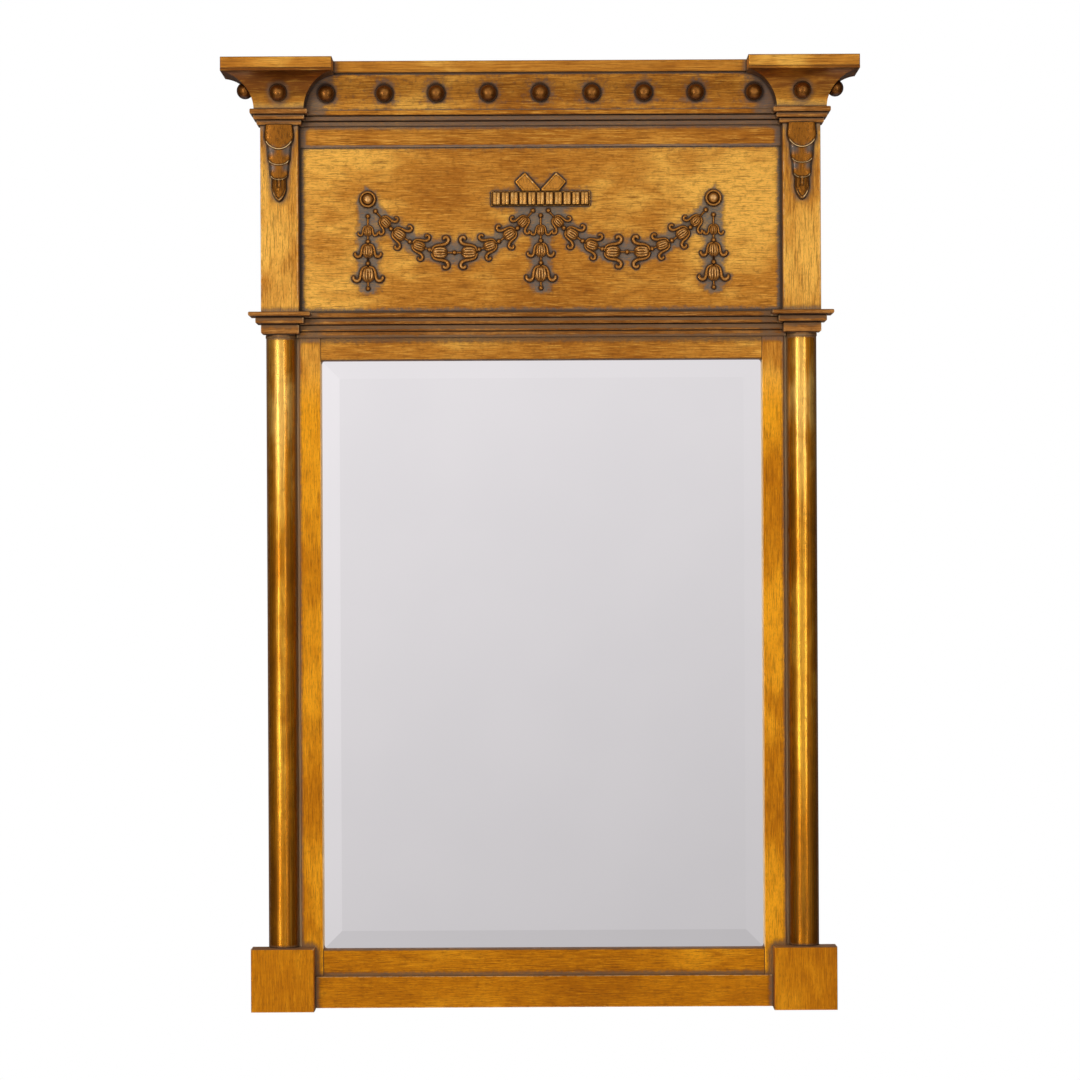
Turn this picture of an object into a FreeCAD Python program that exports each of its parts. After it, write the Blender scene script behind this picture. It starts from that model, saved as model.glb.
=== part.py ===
import FreeCAD, Part
import math
import os

Vector = FreeCAD.Vector

# A pillar wall mirror. X runs to the right of someone who looks at the glass,
# Y runs into the wall and Z runs up. The back of the carcass is the plane Y = 0.
# The origin is the middle of the header board's back face.

# Heights of the courses, stacked up from the bottom of the base blocks
plinth_lift = 2.0
plinth_height = 35.3
sight_foot_width = 30.5
sight_height = 664.6
sight_rail_width = 25.4
entablature_height = 27.8
frieze_height = 187.0
band_height = 23.5
neck_height = 17.4
cove_height = 40.3
cap_thickness = 13.0
base_block_height = 70.8

# Widths across the face
sight_width = 497.0
column_gap = 2.5
column_radius = 17.2
base_block_width = 70.6
pilaster_width = 42.6
neck_block_width = 56.0

# Depths in front of the carcass
panel_thickness = 5.0
band_thickness = 6.4
sight_thickness = 5.0
plinth_thickness = 8.0
pilaster_thickness = 20.0
base_block_thickness = 28.0
neck_block_thickness = 26.0
middle_cap_thickness = 27.0

# Carcass behind the face
carcass_thickness = 19.0
carcass_stile_width = 51.0
carcass_foot_gap = 8.0
carcass_head_gap = 6.0
header_fit = 0.1
dowel_radius = 4.0
dowel_length = 50.0
dowel_fit = 0.05
dowel_end_gap = 0.5
header_dowel_count = 4
foot_dowel_count = 2
dowel_edge_share = 0.14

# Glass, its backing and the strips that keep them in
glass_lip = 5.0
glass_thickness = 5.0
glass_bevel_width = 25.4
glass_bevel_drop = 2.0
glass_edge_fit = 1.5
glass_seat_fit = 0.05
backing_thickness = 3.0
strip_width = 9.0
strip_thickness = 8.0
strip_fit = 0.1
pin_radius = 0.8
pin_length = 20.0
pin_head_radius = 1.6
pin_head_height = 0.8
strip_pin_shares = (-0.4, 0.0, 0.4)

# Neck moulding and entablature: reeds that step out from the face
reed_step = 3.6
reed_count = 3
reed_nose = 1.5
entablature_reed_share = 0.2
entablature_foot_step = 1.8

# Corner cove and middle cove
corner_cove_projection = 34.0
cove_fillet_height = 2.5
middle_cove_projection = 12.0
middle_cove_set_back = 4.6
cap_edge_radius = 1.2

# Applied balls
ball_diameter = 19.05
ball_seat = 7.0
ball_spacing = 58.4
ball_end_gap = 24.9
ball_least_gap = 10.0
middle_ball_rise = 18.3
corner_ball_rise = 17.0
return_ball_rise = 22.5

# Column capital: plates and hollows from the top down, each with its height
capital_top_half = 34.5
capital_middle_half = 27.0
capital_lower_half = 21.2
capital_neck_half = 17.8
capital_top_height = 4.6
capital_middle_height = 7.0
capital_lower_height = 10.4
capital_hollow = 1.2
capital_hollow_height = 0.9

# Small eased edges
sight_edge_radius = 1.8
sight_corner_radius = 3.6
block_edge_radius = 1.2
pilaster_edge_radius = 1.0

# Frieze ornament
rosette_gap = 77.3
rosette_rise = 128.4
rosette_radius = 10.0
rosette_ring_radius = 2.1
rosette_ball_radius = 4.3
rosette_dish_depth = 1.6
swag_sag = 60.5
drop_length = 100.7
flower_span = 38.0
bead_radius = 2.5
stem_radius = 1.2

# A bellflower in shares of its span: the bell hangs down from its neck
bell_height_share = 0.44
bell_half_share = 0.2
bell_relief_share = 0.15
bell_mouth_share = 0.15
bell_neck_share = 0.07
petal_top_share = (0.13, 0.12)
petal_bend_share = (0.245, -0.13)
petal_curl_share = 0.095
petal_radius_share = 0.045
petal_tip_share = 0.06
petal_curl_angle = 215.0

# Swag from its middle bead to the rosette: shares of the half span and of the
# sag, and the share of the flower span, where nought stands for a bead
swag_shares = (
    (0.0, 0.0, 0.0),
    (0.17, 0.003, 1.0),
    (0.287, 0.058, 0.0),
    (0.41, 0.127, 0.84),
    (0.516, 0.207, 0.0),
    (0.638, 0.34, 0.86),
    (0.732, 0.45, 0.0),
    (0.796, 0.567, 0.76),
    (0.911, 0.777, 0.0),
)
# Hanging drop: shares of its length below the rosette, and of the flower span
drop_shares = (
    (0.189, 0.0),
    (0.357, 0.66),
    (0.472, 0.0),
    (0.58, 0.88),
    (0.719, 0.0),
    (0.842, 1.0),
    (1.0, 0.0),
)

# Ribbon bar and bow over the middle drop
ribbon_length = 112.0
ribbon_height = 16.6
ribbon_reed_count = 11
ribbon_base = 1.5
ribbon_relief = 4.5
bow_foot_width = 20.7
bow_reach = 29.2
bow_shoulder = 10.7
bow_tip_x = 17.6
bow_rise = 21.3
bow_throat = 2.0
bow_thickness = 3.4

# Husk drop on each pilaster: bottoms of three scallops and the tip of the bud
# below the neck moulding, with their widths
husk_drops = (27.3, 46.0, 61.8)
husk_widths = (33.5, 27.0, 22.5)
husk_bud_drop = 86.2
husk_bud_width = 16.5
husk_bud_point_share = 0.42
husk_relief = 6.6
husk_rim_relief = 2.6
husk_step = 0.6
husk_lap = 1.3

# Strap hanger and D-ring
hanger_strap_width = 16.0
hanger_strap_length = 38.0
hanger_strap_thickness = 1.2
hanger_eye_lift = 0.32
hanger_eye_width = 15.0
ring_wire_radius = 2.0
ring_running_fit = 0.08
ring_half_width = 12.0
ring_leg = 7.0
hanger_hole_shares = (0.34, 0.78)

# Screws
screw_radius = 1.75
screw_head_radius = 3.6
screw_head_height = 2.1
screw_fit = 0.05
hanger_screw_length = 16.0
face_screw_length = 28.0
face_screw_sink = 1.0
face_screw_shares = (0.12, 0.5, 0.88)

# Rubber wall bumpers
bumper_radius = 8.0
bumper_thickness = 8.0
bumper_end_gap = 22.0

# One overrun for every cut
overrun = 5.0

# Levels above the bottom of the base blocks
plinth_top = plinth_lift + plinth_height
sight_bottom = plinth_top + sight_foot_width
sight_top = sight_bottom + sight_height
entablature_bottom = sight_top + sight_rail_width
frieze_bottom = entablature_bottom + entablature_height
band_bottom = frieze_bottom + frieze_height
neck_bottom = band_bottom + band_height
cove_bottom = neck_bottom + neck_height
cap_bottom = cove_bottom + cove_height
cap_top = cap_bottom + cap_thickness

# Planes and half widths that several pieces share
face = -carcass_thickness
panel_face = face - panel_thickness
neck_block_half = neck_block_width / 2
neck_block_face = face - neck_block_thickness
pilaster_half = pilaster_width / 2
pilaster_face = face - pilaster_thickness
block_half = base_block_width / 2
cap_half = neck_block_half + corner_cove_projection
sight_half = sight_width / 2
sight_outer = sight_half + sight_rail_width
column_axis_x = sight_outer + column_gap + column_radius
cap_inner_x = column_axis_x - cap_half
pilaster_inner_x = column_axis_x - pilaster_half
block_inner_x = column_axis_x - block_half
rosette_x = pilaster_inner_x - rosette_gap
swag_half_span = rosette_x / 2

# The glass sits in the opening of the carcass
glass_half_width = sight_half + glass_lip
glass_bottom = sight_bottom - glass_lip
glass_top = sight_top + glass_lip
glass_lip_drop = glass_bevel_drop * glass_lip / glass_bevel_width
glass_edge_face = face + glass_seat_fit + glass_lip_drop
glass_back = glass_edge_face + glass_thickness - glass_bevel_drop
backing_back = glass_back + backing_thickness
opening_half = glass_half_width + glass_edge_fit
opening_bottom = glass_bottom - glass_edge_fit
opening_top = glass_top + glass_edge_fit
carcass_half = opening_half + carcass_stile_width
carcass_bottom = carcass_foot_gap
carcass_top = cap_top - carcass_head_gap
stile_middle_x = opening_half + carcass_stile_width / 2
header_middle = (opening_top + carcass_top) / 2

# Hanger: the ring's axis is level with the middle of the header
eye_inner = ring_wire_radius + ring_running_fit
eye_outer = eye_inner + hanger_strap_thickness
eye_y = eye_outer + hanger_eye_lift


def box(x0, x1, y0, y1, z0, z1):
    return Part.makeBox(x1 - x0, y1 - y0, z1 - z0, Vector(x0, y0, z0))


def prism(points, reach):
    outline = Part.makePolygon(points + [points[0]])
    return Part.Face(outline).extrude(reach)


def fused(shapes):
    whole = shapes[0]
    for shape in shapes[1:]:
        whole = whole.fuse(shape)
    return whole.removeSplitter()


def mirrored(shape):
    return shape.mirror(Vector(0, 0, 0), Vector(1, 0, 0))


def turned(shape, degrees, x, y, z):
    copy = shape.copy()
    copy.rotate(Vector(0, 0, 0), Vector(0, 1, 0), degrees)
    copy.translate(Vector(x, y, z))
    return copy


def eased(shape, radius, wanted):
    edges = [edge for edge in shape.Edges if wanted(edge)]
    return shape.makeFillet(radius, edges)


def runs_along(edge, axis):
    first, last = edge.Vertexes[0].Point, edge.Vertexes[-1].Point
    step = last - first
    return abs(step.dot(axis)) > step.Length * 0.999 and step.Length > 0


def lies_at(edge, value, axis):
    return abs(edge.CenterOfMass.dot(axis) - value) < edge.Length / 1000


ALONG_X = Vector(1, 0, 0)
ALONG_Y = Vector(0, 1, 0)
ALONG_Z = Vector(0, 0, 1)


def wood_screw(x, y, z, length):
    head = Part.makeCone(screw_head_radius, screw_radius, screw_head_height, Vector(x, y, z), -ALONG_Y)
    shank = Part.makeCylinder(screw_radius, length, Vector(x, y, z), -ALONG_Y)
    return head.fuse(shank).removeSplitter()


def screw_hole(x, y, z, length):
    wide = screw_radius + screw_fit
    wide_head = screw_head_radius + screw_fit
    head = Part.makeCone(wide_head, wide, screw_head_height, Vector(x, y, z), -ALONG_Y)
    shank = Part.makeCylinder(wide, length + screw_fit, Vector(x, y, z), -ALONG_Y)
    mouth = Part.makeCylinder(wide_head, overrun, Vector(x, y, z), ALONG_Y)
    return head.fuse(shank).fuse(mouth)


# Screws from behind: into the block, the column and the pilaster of one side
def face_screw_places():
    stations = [base_block_height / 2]
    column_top = entablature_bottom
    for share in face_screw_shares:
        stations.append(base_block_height + (column_top - base_block_height) * share)
    for share in face_screw_shares:
        stations.append(frieze_bottom + (neck_bottom - frieze_bottom) * share)
    return stations


def face_screws():
    solids = []
    for z in face_screw_places():
        solids.append(wood_screw(column_axis_x, -face_screw_sink, z, face_screw_length))
    return Part.makeCompound(solids + [mirrored(solid) for solid in solids])


def bored_for_face_screws(piece):
    for z in face_screw_places():
        piece = piece.cut(screw_hole(column_axis_x, -face_screw_sink, z, face_screw_length))
    return piece


# Carcass
def dowel_levels(bottom, top, count):
    first = bottom + (top - bottom) * dowel_edge_share
    last = top - (top - bottom) * dowel_edge_share
    return [first + (last - first) * step / (count - 1) for step in range(count)]


def dowel_places():
    levels = dowel_levels(carcass_bottom, opening_bottom, foot_dowel_count)
    return levels + dowel_levels(opening_top, carcass_top, header_dowel_count)


def dowel(z, radius, length):
    start = Vector(opening_half - length / 2, -carcass_thickness / 2, z)
    return Part.makeCylinder(radius, length, start, ALONG_X)


def bored_for_dowels(piece):
    for z in dowel_places():
        piece = piece.cut(dowel(z, dowel_radius + dowel_fit, dowel_length + 2 * dowel_end_gap))
    return piece


def corner_dowels():
    solids = [dowel(z, dowel_radius, dowel_length) for z in dowel_places()]
    return Part.makeCompound(solids + [mirrored(solid) for solid in solids])


def hanger_screw_levels():
    return [header_middle - hanger_strap_length * share for share in hanger_hole_shares]


def carcass_stile():
    stile = box(opening_half, carcass_half, face, 0, carcass_bottom, carcass_top)
    stile = bored_for_face_screws(bored_for_dowels(stile))
    for z in hanger_screw_levels():
        stile = stile.cut(screw_hole(stile_middle_x, hanger_strap_thickness, z, hanger_screw_length))
    return bored_for_strip_pins(stile)


def carcass_rail(bottom, top):
    reach = opening_half - header_fit
    rail = box(-reach, reach, face, 0, bottom, top)
    rail = bored_for_dowels(rail)
    rail = mirrored(bored_for_dowels(mirrored(rail)))
    return bored_for_strip_pins(rail)


# Glass, backing and strips
def mirror_glass():
    edge = glass_half_width
    field = edge - glass_bevel_width
    slab = box(-edge, edge, glass_edge_face, glass_back, glass_bottom, glass_top)
    low = glass_bottom + glass_bevel_width
    high = glass_top - glass_bevel_width
    front = glass_edge_face - glass_bevel_drop
    outer = Part.makePolygon(rectangle(edge, glass_edge_face, glass_bottom, glass_top))
    inner = Part.makePolygon(rectangle(field, front, low, high))
    bevel = Part.makeLoft([outer, inner], True, True)
    return slab.fuse(bevel).removeSplitter()


def rectangle(half, y, z0, z1):
    corners = [Vector(-half, y, z0), Vector(half, y, z0), Vector(half, y, z1), Vector(-half, y, z1)]
    return corners + [corners[0]]


def backing_board():
    return box(-glass_half_width, glass_half_width, glass_back, backing_back, glass_bottom, glass_top)


def side_strip():
    outer = opening_half - strip_fit
    inner = outer - strip_width
    low = opening_bottom + strip_fit
    high = opening_top - strip_fit
    strip = box(inner, outer, backing_back, backing_back + strip_thickness, low, high)
    return bored_for_strip_pins(strip)


def end_strip(bottom):
    reach = opening_half - 2 * strip_fit - strip_width
    back = backing_back + strip_thickness
    return bored_for_strip_pins(box(-reach, reach, backing_back, back, bottom, bottom + strip_width))


def retaining_strips():
    foot = end_strip(opening_bottom + strip_fit)
    head = end_strip(opening_top - strip_fit - strip_width)
    return Part.makeCompound([side_strip(), mirrored(side_strip()), foot, head])


def nail(start, direction):
    head = Part.makeCylinder(pin_head_radius, pin_head_height, start, direction)
    shank = Part.makeCylinder(pin_radius, pin_length, start, direction)
    return head.fuse(shank).removeSplitter()


def strip_pin_list():
    y = backing_back + strip_thickness / 2
    side_x = opening_half - strip_fit - strip_width
    middle = (opening_bottom + opening_top) / 2
    foot_z = opening_bottom + strip_fit + strip_width
    head_z = opening_top - strip_fit - strip_width
    pins = []
    for share in strip_pin_shares:
        z = middle + (opening_top - opening_bottom) * share
        x = 2 * opening_half * share
        pins.append(nail(Vector(side_x, y, z), ALONG_X))
        pins.append(nail(Vector(-side_x, y, z), -ALONG_X))
        pins.append(nail(Vector(x, y, foot_z), -ALONG_Z))
        pins.append(nail(Vector(x, y, head_z), ALONG_Z))
    return pins


def bored_for_strip_pins(piece):
    return piece.cut(Part.makeCompound(strip_pin_list()))


# Sight frame round the glass
def sight_stile():
    stile = box(sight_half, sight_outer, face - sight_thickness, face, plinth_top, entablature_bottom)
    stile = eased(stile, sight_edge_radius, is_front_upright)
    return stile.cut(box(block_inner_x, sight_outer + overrun, face - overrun * 2, face + overrun,
                         plinth_top - overrun, base_block_height))


def is_front_upright(edge):
    return runs_along(edge, ALONG_Z) and edge.CenterOfMass.y < face - sight_thickness / 2


def sight_rail(bottom, top, sight_edge, inward):
    rail = box(-sight_half, sight_half, face - sight_thickness, face, bottom, top)
    rail = eased(rail, sight_edge_radius, lambda edge: is_sight_edge(edge, sight_edge))
    fills = []
    for side in (-1, 1):
        fills.append(sight_corner(side * sight_half, sight_edge, -side, inward))
    return fused([rail] + fills)


def is_sight_edge(edge, level):
    in_front = edge.CenterOfMass.y < face - sight_thickness / 2
    return runs_along(edge, ALONG_X) and in_front and lies_at(edge, level, ALONG_Z)


# The little rounded fill in a corner of the sight opening
def sight_corner(x, z, to_middle_x, to_middle_z):
    r = sight_corner_radius
    front = face - sight_thickness + sight_edge_radius
    x0, x1 = sorted((x, x + to_middle_x * r))
    z0, z1 = sorted((z, z + to_middle_z * r))
    fill = box(x0, x1, front, face, z0, z1)
    centre = Vector(x + to_middle_x * r, front - overrun, z + to_middle_z * r)
    return fill.cut(Part.makeCylinder(r, sight_thickness + 2 * overrun, centre, ALONG_Y))


# Base, column, capital and pilaster of the right side
def base_block():
    block = box(block_inner_x, column_axis_x + block_half, face - base_block_thickness, face,
                0, base_block_height)
    block = eased(block, block_edge_radius, is_block_front_edge)
    return bored_for_face_screws(block)


def is_block_front_edge(edge):
    return lies_at(edge, face - base_block_thickness, ALONG_Y)


def column():
    height = entablature_bottom - base_block_height
    foot = Vector(column_axis_x, face, base_block_height)
    shaft = half_round(column_radius, height, foot)
    return bored_for_face_screws(shaft)


# The front half of an upright rod whose axis lies in the carcass's face
def half_round(radius, height, foot):
    rod = Part.makeCylinder(radius, height, foot, ALONG_Z)
    reach = radius + overrun
    return rod.cut(box(foot.x - reach, foot.x + reach, foot.y, foot.y + reach,
                       foot.z - overrun, foot.z + height + overrun))


def capital_plate(half, bottom, top):
    plate = box(column_axis_x - half, column_axis_x + half, face - half, face, bottom, top)
    return eased(plate, min(reed_nose, (top - bottom) / 3), lambda edge: is_plate_edge(edge, half))


def is_plate_edge(edge, half):
    at_front = lies_at(edge, face - half, ALONG_Y) and runs_along(edge, ALONG_X)
    return at_front or runs_along(edge, ALONG_Y)


def capital_rows():
    top = frieze_bottom
    rows = []
    heights = (capital_top_height, capital_middle_height, capital_lower_height)
    halves = (capital_top_half, capital_middle_half, capital_lower_half)
    for half, height in zip(halves, heights):
        rows.append((half, top - height, top))
        rows.append((half - capital_hollow, top - height - capital_hollow_height, top - height))
        top = top - height - capital_hollow_height
    return rows, top


def capital():
    rows, foot_top = capital_rows()
    plates = []
    for count, (half, bottom, top) in enumerate(rows):
        if count % 2 == 0:
            plates.append(capital_plate(half, bottom, top))
        else:
            lower_half = rows[count + 1][0] if count + 1 < len(rows) else capital_neck_half
            hollow_half = min(half, lower_half - capital_hollow)
            plates.append(box(column_axis_x - hollow_half, column_axis_x + hollow_half,
                              face - hollow_half, face, bottom, top))
    plates.append(half_round(capital_neck_half, foot_top - entablature_bottom,
                             Vector(column_axis_x, face, entablature_bottom)))
    return fused(plates)


def pilaster():
    post = box(pilaster_inner_x, column_axis_x + pilaster_half, pilaster_face, face,
               frieze_bottom, neck_bottom)
    post = eased(post, pilaster_edge_radius, is_pilaster_edge)
    return bored_for_face_screws(post)


def is_pilaster_edge(edge):
    return runs_along(edge, ALONG_Z) and lies_at(edge, pilaster_face, ALONG_Y)


# Reeds that step out as they rise, from a flat face to the top fillet
def reed_rows(bottom, height):
    reed = height / reed_count
    rows = []
    for row in range(reed_count):
        low = bottom + reed * row
        rows.append((reed_step * (row + 1), low, low + reed))
    return rows


def corner_neck_moulding():
    plates = []
    for out, bottom, top in reed_rows(neck_bottom, neck_height):
        half = pilaster_half + out
        plate = box(column_axis_x - half, column_axis_x + half, pilaster_face - out, face, bottom, top)
        nose = min(reed_nose, (top - bottom) / 3)
        plates.append(eased(plate, nose, is_corner_reed_edge))
    return fused(plates)


def is_corner_reed_edge(edge):
    at_front = edge.CenterOfMass.y < pilaster_face and runs_along(edge, ALONG_X)
    return at_front or runs_along(edge, ALONG_Y)


def straight_reed(reach, out, bottom, top):
    front = panel_face - out
    plate = box(-reach, reach, front, face, bottom, top)
    nose = min(reed_nose, (top - bottom) / 3)
    return eased(plate, nose, lambda edge: is_long_edge(edge, front))


def middle_neck_moulding():
    reeds = [straight_reed(pilaster_inner_x, out, bottom, top)
             for out, bottom, top in reed_rows(neck_bottom, neck_height)]
    return fused(reeds).cut(corner_neck_moulding()).cut(mirrored(corner_neck_moulding()))


def entablature_moulding():
    fillet = entablature_height * entablature_reed_share
    reed = (entablature_height - fillet) / reed_count
    rows = [(entablature_foot_step, entablature_bottom, entablature_bottom + reed)]
    for row in range(1, reed_count):
        low = entablature_bottom + reed * row
        rows.append((reed_step * row, low, low + reed))
    rows.append((reed_step * reed_count, frieze_bottom - fillet, frieze_bottom))
    reeds = [straight_reed(column_axis_x - capital_neck_half, out, low, high) for out, low, high in rows]
    return fused(reeds).cut(capital()).cut(mirrored(capital()))


# Frieze
def frieze_panel():
    return box(-pilaster_inner_x, pilaster_inner_x, panel_face, face, frieze_bottom, band_bottom)


def frieze_top_band():
    return box(-pilaster_inner_x, pilaster_inner_x, face - band_thickness, face, band_bottom, neck_bottom)


# Coves. Each profile starts upright at the foot and sweeps out to a thin fillet
def cove_profile(projection):
    rise = cove_height - cove_fillet_height
    half_turn = math.atan2(projection, rise)
    radius = rise / math.sin(2 * half_turn)
    middle = (radius * (1 - math.cos(half_turn)), radius * math.sin(half_turn))
    return radius, middle


def cove_face(projection, depth):
    radius, middle = cove_profile(projection)
    rise = cove_height - cove_fillet_height
    foot = Vector(0, 0, 0)
    lip = Vector(0, -projection, rise)
    sweep = Part.Arc(foot, Vector(0, -middle[0], middle[1]), lip).toShape()
    rest = Part.makePolygon([lip, Vector(0, -projection, cove_height), Vector(0, depth, cove_height),
                             Vector(0, depth, 0), foot])
    return Part.Face(Part.Wire([sweep] + rest.Edges))


def plan_cut(points):
    corners = [Vector(x, y, cove_bottom - overrun) for x, y in points]
    return prism(corners, Vector(0, 0, cove_height + 2 * overrun))


# Cove pieces of one corner, drawn about the column's axis and moved to it
def corner_cove_front():
    profile = cove_face(corner_cove_projection, 0)
    profile.translate(Vector(-cap_half, neck_block_face, cove_bottom))
    run = profile.extrude(Vector(2 * cap_half, 0, 0))
    front = neck_block_face - corner_cove_projection
    plan = [(-neck_block_half, neck_block_face), (neck_block_half, neck_block_face),
            (cap_half, front), (-cap_half, front)]
    piece = run.common(plan_cut(plan))
    piece.translate(Vector(column_axis_x, 0, 0))
    return piece


def corner_cove_return(side):
    profile = cove_face(corner_cove_projection, 0)
    profile.rotate(Vector(0, 0, 0), ALONG_Z, 90 * side)
    front = neck_block_face - corner_cove_projection
    profile.translate(Vector(side * neck_block_half, front, cove_bottom))
    run = profile.extrude(Vector(0, face - front, 0))
    plan = [(side * neck_block_half, neck_block_face), (side * cap_half, front),
            (side * cap_half, face), (side * neck_block_half, face)]
    piece = run.common(plan_cut(plan))
    piece.translate(Vector(column_axis_x, 0, 0))
    return piece


def corner_cove_inner():
    return corner_cove_return(-1).cut(middle_cove())


def corner_core():
    return box(column_axis_x - neck_block_half, column_axis_x + neck_block_half, neck_block_face, face,
               cove_bottom, cap_bottom)


def corner_cap():
    front = neck_block_face - corner_cove_projection
    cap = box(cap_inner_x, column_axis_x + cap_half, front, face, cap_bottom, cap_top)
    return eased(cap, cap_edge_radius, lambda edge: lies_at(edge, front, ALONG_Y))


def middle_cap():
    front = face - middle_cap_thickness
    cap = box(-cap_inner_x, cap_inner_x, front, face, cap_bottom, cap_top)
    return eased(cap, cap_edge_radius, lambda edge: is_long_edge(edge, front))


def is_long_edge(edge, front):
    return runs_along(edge, ALONG_X) and lies_at(edge, front, ALONG_Y)


def middle_cove_foot():
    return panel_face - reed_step * reed_count + middle_cove_set_back


def middle_cove():
    reach = column_axis_x - neck_block_half
    foot = middle_cove_foot()
    profile = cove_face(middle_cove_projection, face - foot)
    profile.translate(Vector(-reach, foot, cove_bottom))
    return profile.extrude(Vector(2 * reach, 0, 0))


# Balls, each glued to the cove with a little less than half of it let into the seat
def ball_offset(projection, rise):
    radius, _ = cove_profile(projection)
    to_centre = radius - ball_diameter / 2 + ball_seat
    turn = math.asin(rise / to_centre)
    return radius - to_centre * math.cos(turn)


def ball(x, y, z):
    return Part.makeSphere(ball_diameter / 2, Vector(x, y, z))


def ball_stations():
    end = column_axis_x - neck_block_half - ball_end_gap
    half_count = int((end - ball_diameter - ball_least_gap) / ball_spacing)
    inner = [ball_spacing * count for count in range(-half_count, half_count + 1)]
    return [-end] + inner + [end]


def cornice_balls():
    y = middle_cove_foot() - ball_offset(middle_cove_projection, middle_ball_rise)
    z = cove_bottom + middle_ball_rise
    cove = middle_cove()
    return Part.makeCompound([ball(x, y, z).cut(cove) for x in ball_stations()])


def corner_balls():
    out_front = ball_offset(corner_cove_projection, corner_ball_rise)
    out_side = ball_offset(corner_cove_projection, return_ball_rise)
    front = ball(column_axis_x, neck_block_face - out_front, cove_bottom + corner_ball_rise)
    side = ball(column_axis_x + neck_block_half + out_side, (face + neck_block_face) / 2,
                cove_bottom + return_ball_rise)
    core = corner_core()
    solids = [front.cut(corner_cove_front()).cut(core), side.cut(corner_cove_return(1)).cut(core)]
    return Part.makeCompound(solids + [mirrored(solid) for solid in solids])


# Ornament. Each form is drawn round the origin with its back on Y = 0
def front_half(shape, reach):
    behind = box(-reach, reach, 0, reach, -reach, reach)
    return shape.cut(behind)


def bead():
    return front_half(Part.makeSphere(bead_radius), bead_radius * 2)


def bell(span):
    half = span * bell_half_share
    top = span * bell_height_share / 2
    neck = span * bell_neck_share
    mouth = span * bell_mouth_share
    neck_point = Vector(neck, 0, top)
    belly = Vector(half, 0, 0)
    lip = Vector(mouth, 0, -top)
    side = Part.Arc(neck_point, belly, lip).toShape()
    rest = Part.makePolygon([lip, Vector(0, 0, -top), Vector(0, 0, top), neck_point])
    outline = Part.Face(Part.Wire([side] + rest.Edges))
    round_bell = outline.revolve(Vector(0, 0, 0), ALONG_Z, 360)
    flatten = FreeCAD.Matrix()
    flatten.scale(1, bell_relief_share / bell_half_share, 1)
    return front_half(round_bell.transformGeometry(flatten), span)


# One curled petal: a straight stalk, a hook and a round tip
def petal(span):
    radius = span * petal_radius_share
    curl = span * petal_curl_share
    top = Vector(span * petal_top_share[0], 0, span * petal_top_share[1])
    bend = Vector(span * petal_bend_share[0], 0, span * petal_bend_share[1])
    stalk_way = (bend - top).normalize()
    stalk = Part.makeCylinder(radius, (bend - top).Length, top, stalk_way)
    outward = Vector(-stalk_way.z, 0, stalk_way.x)
    centre = bend + outward * curl
    section = Part.Face(Part.Wire(Part.makeCircle(radius, bend, stalk_way)))
    hook = section.revolve(centre, -ALONG_Y, petal_curl_angle)
    tip_turn = FreeCAD.Rotation(-ALONG_Y, petal_curl_angle)
    tip_place = centre + tip_turn.multVec(bend - centre)
    tip = Part.makeSphere(span * petal_tip_share, tip_place)
    return front_half(fused([stalk, hook, tip]), span)


def flower(span):
    right = petal(span)
    return fused([bell(span), right, mirrored(right)])


def stem(start, end):
    rod = Part.makeCylinder(stem_radius, (end - start).Length, start, (end - start).normalize())
    behind = box(-pilaster_inner_x, pilaster_inner_x, panel_face, face, frieze_bottom, band_bottom)
    return rod.cut(behind)


# A chain of beads and flowers joined by stems: places on the panel, the
# flower's span there, and the point that each bell opens towards
def chain(links):
    solids = []
    for place, span, mouth in links:
        if span > 0:
            lean = math.degrees(math.atan2(place.x - mouth.x, place.z - mouth.z))
            solids.append(turned(flower(span), lean, place.x, place.y, place.z))
        else:
            solids.append(turned(bead(), 0, place.x, place.y, place.z))
    for first, second in zip(links, links[1:]):
        solids.append(stem(first[0], second[0]))
    return fused(solids)


def on_panel(x, z):
    return Vector(x, panel_face, z)


def rosette_level():
    return frieze_bottom + rosette_rise


def swag_half(centre_x, side):
    places = []
    for along, up, size in swag_shares:
        x = centre_x + side * swag_half_span * along
        z = rosette_level() - swag_sag * (1 - up)
        places.append((on_panel(x, z), flower_span * size))
    links = []
    for count, (place, span) in enumerate(places):
        inner = places[max(count - 1, 0)][0]
        links.append((place, span, inner))
    return links


def garland():
    centre_x = rosette_x - swag_half_span
    return fused([chain(swag_half(centre_x, 1)), chain(swag_half(centre_x, -1))])


def hanging_drop(x):
    links = []
    for share, size in drop_shares:
        z = rosette_level() - drop_length * share
        links.append((on_panel(x, z), flower_span * size, on_panel(x, z - flower_span)))
    return chain(links)


def rosette():
    tube = rosette_ring_radius
    ring = Part.makeTorus(rosette_radius - tube, tube, Vector(0, 0, 0), ALONG_Y)
    dish = Part.makeCylinder(rosette_radius - tube, rosette_dish_depth, Vector(0, 0, 0), -ALONG_Y)
    centre = Part.makeSphere(rosette_ball_radius)
    whole = front_half(fused([ring, dish, centre]), rosette_radius * 2)
    return turned(whole, 0, rosette_x, panel_face, rosette_level())


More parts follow.
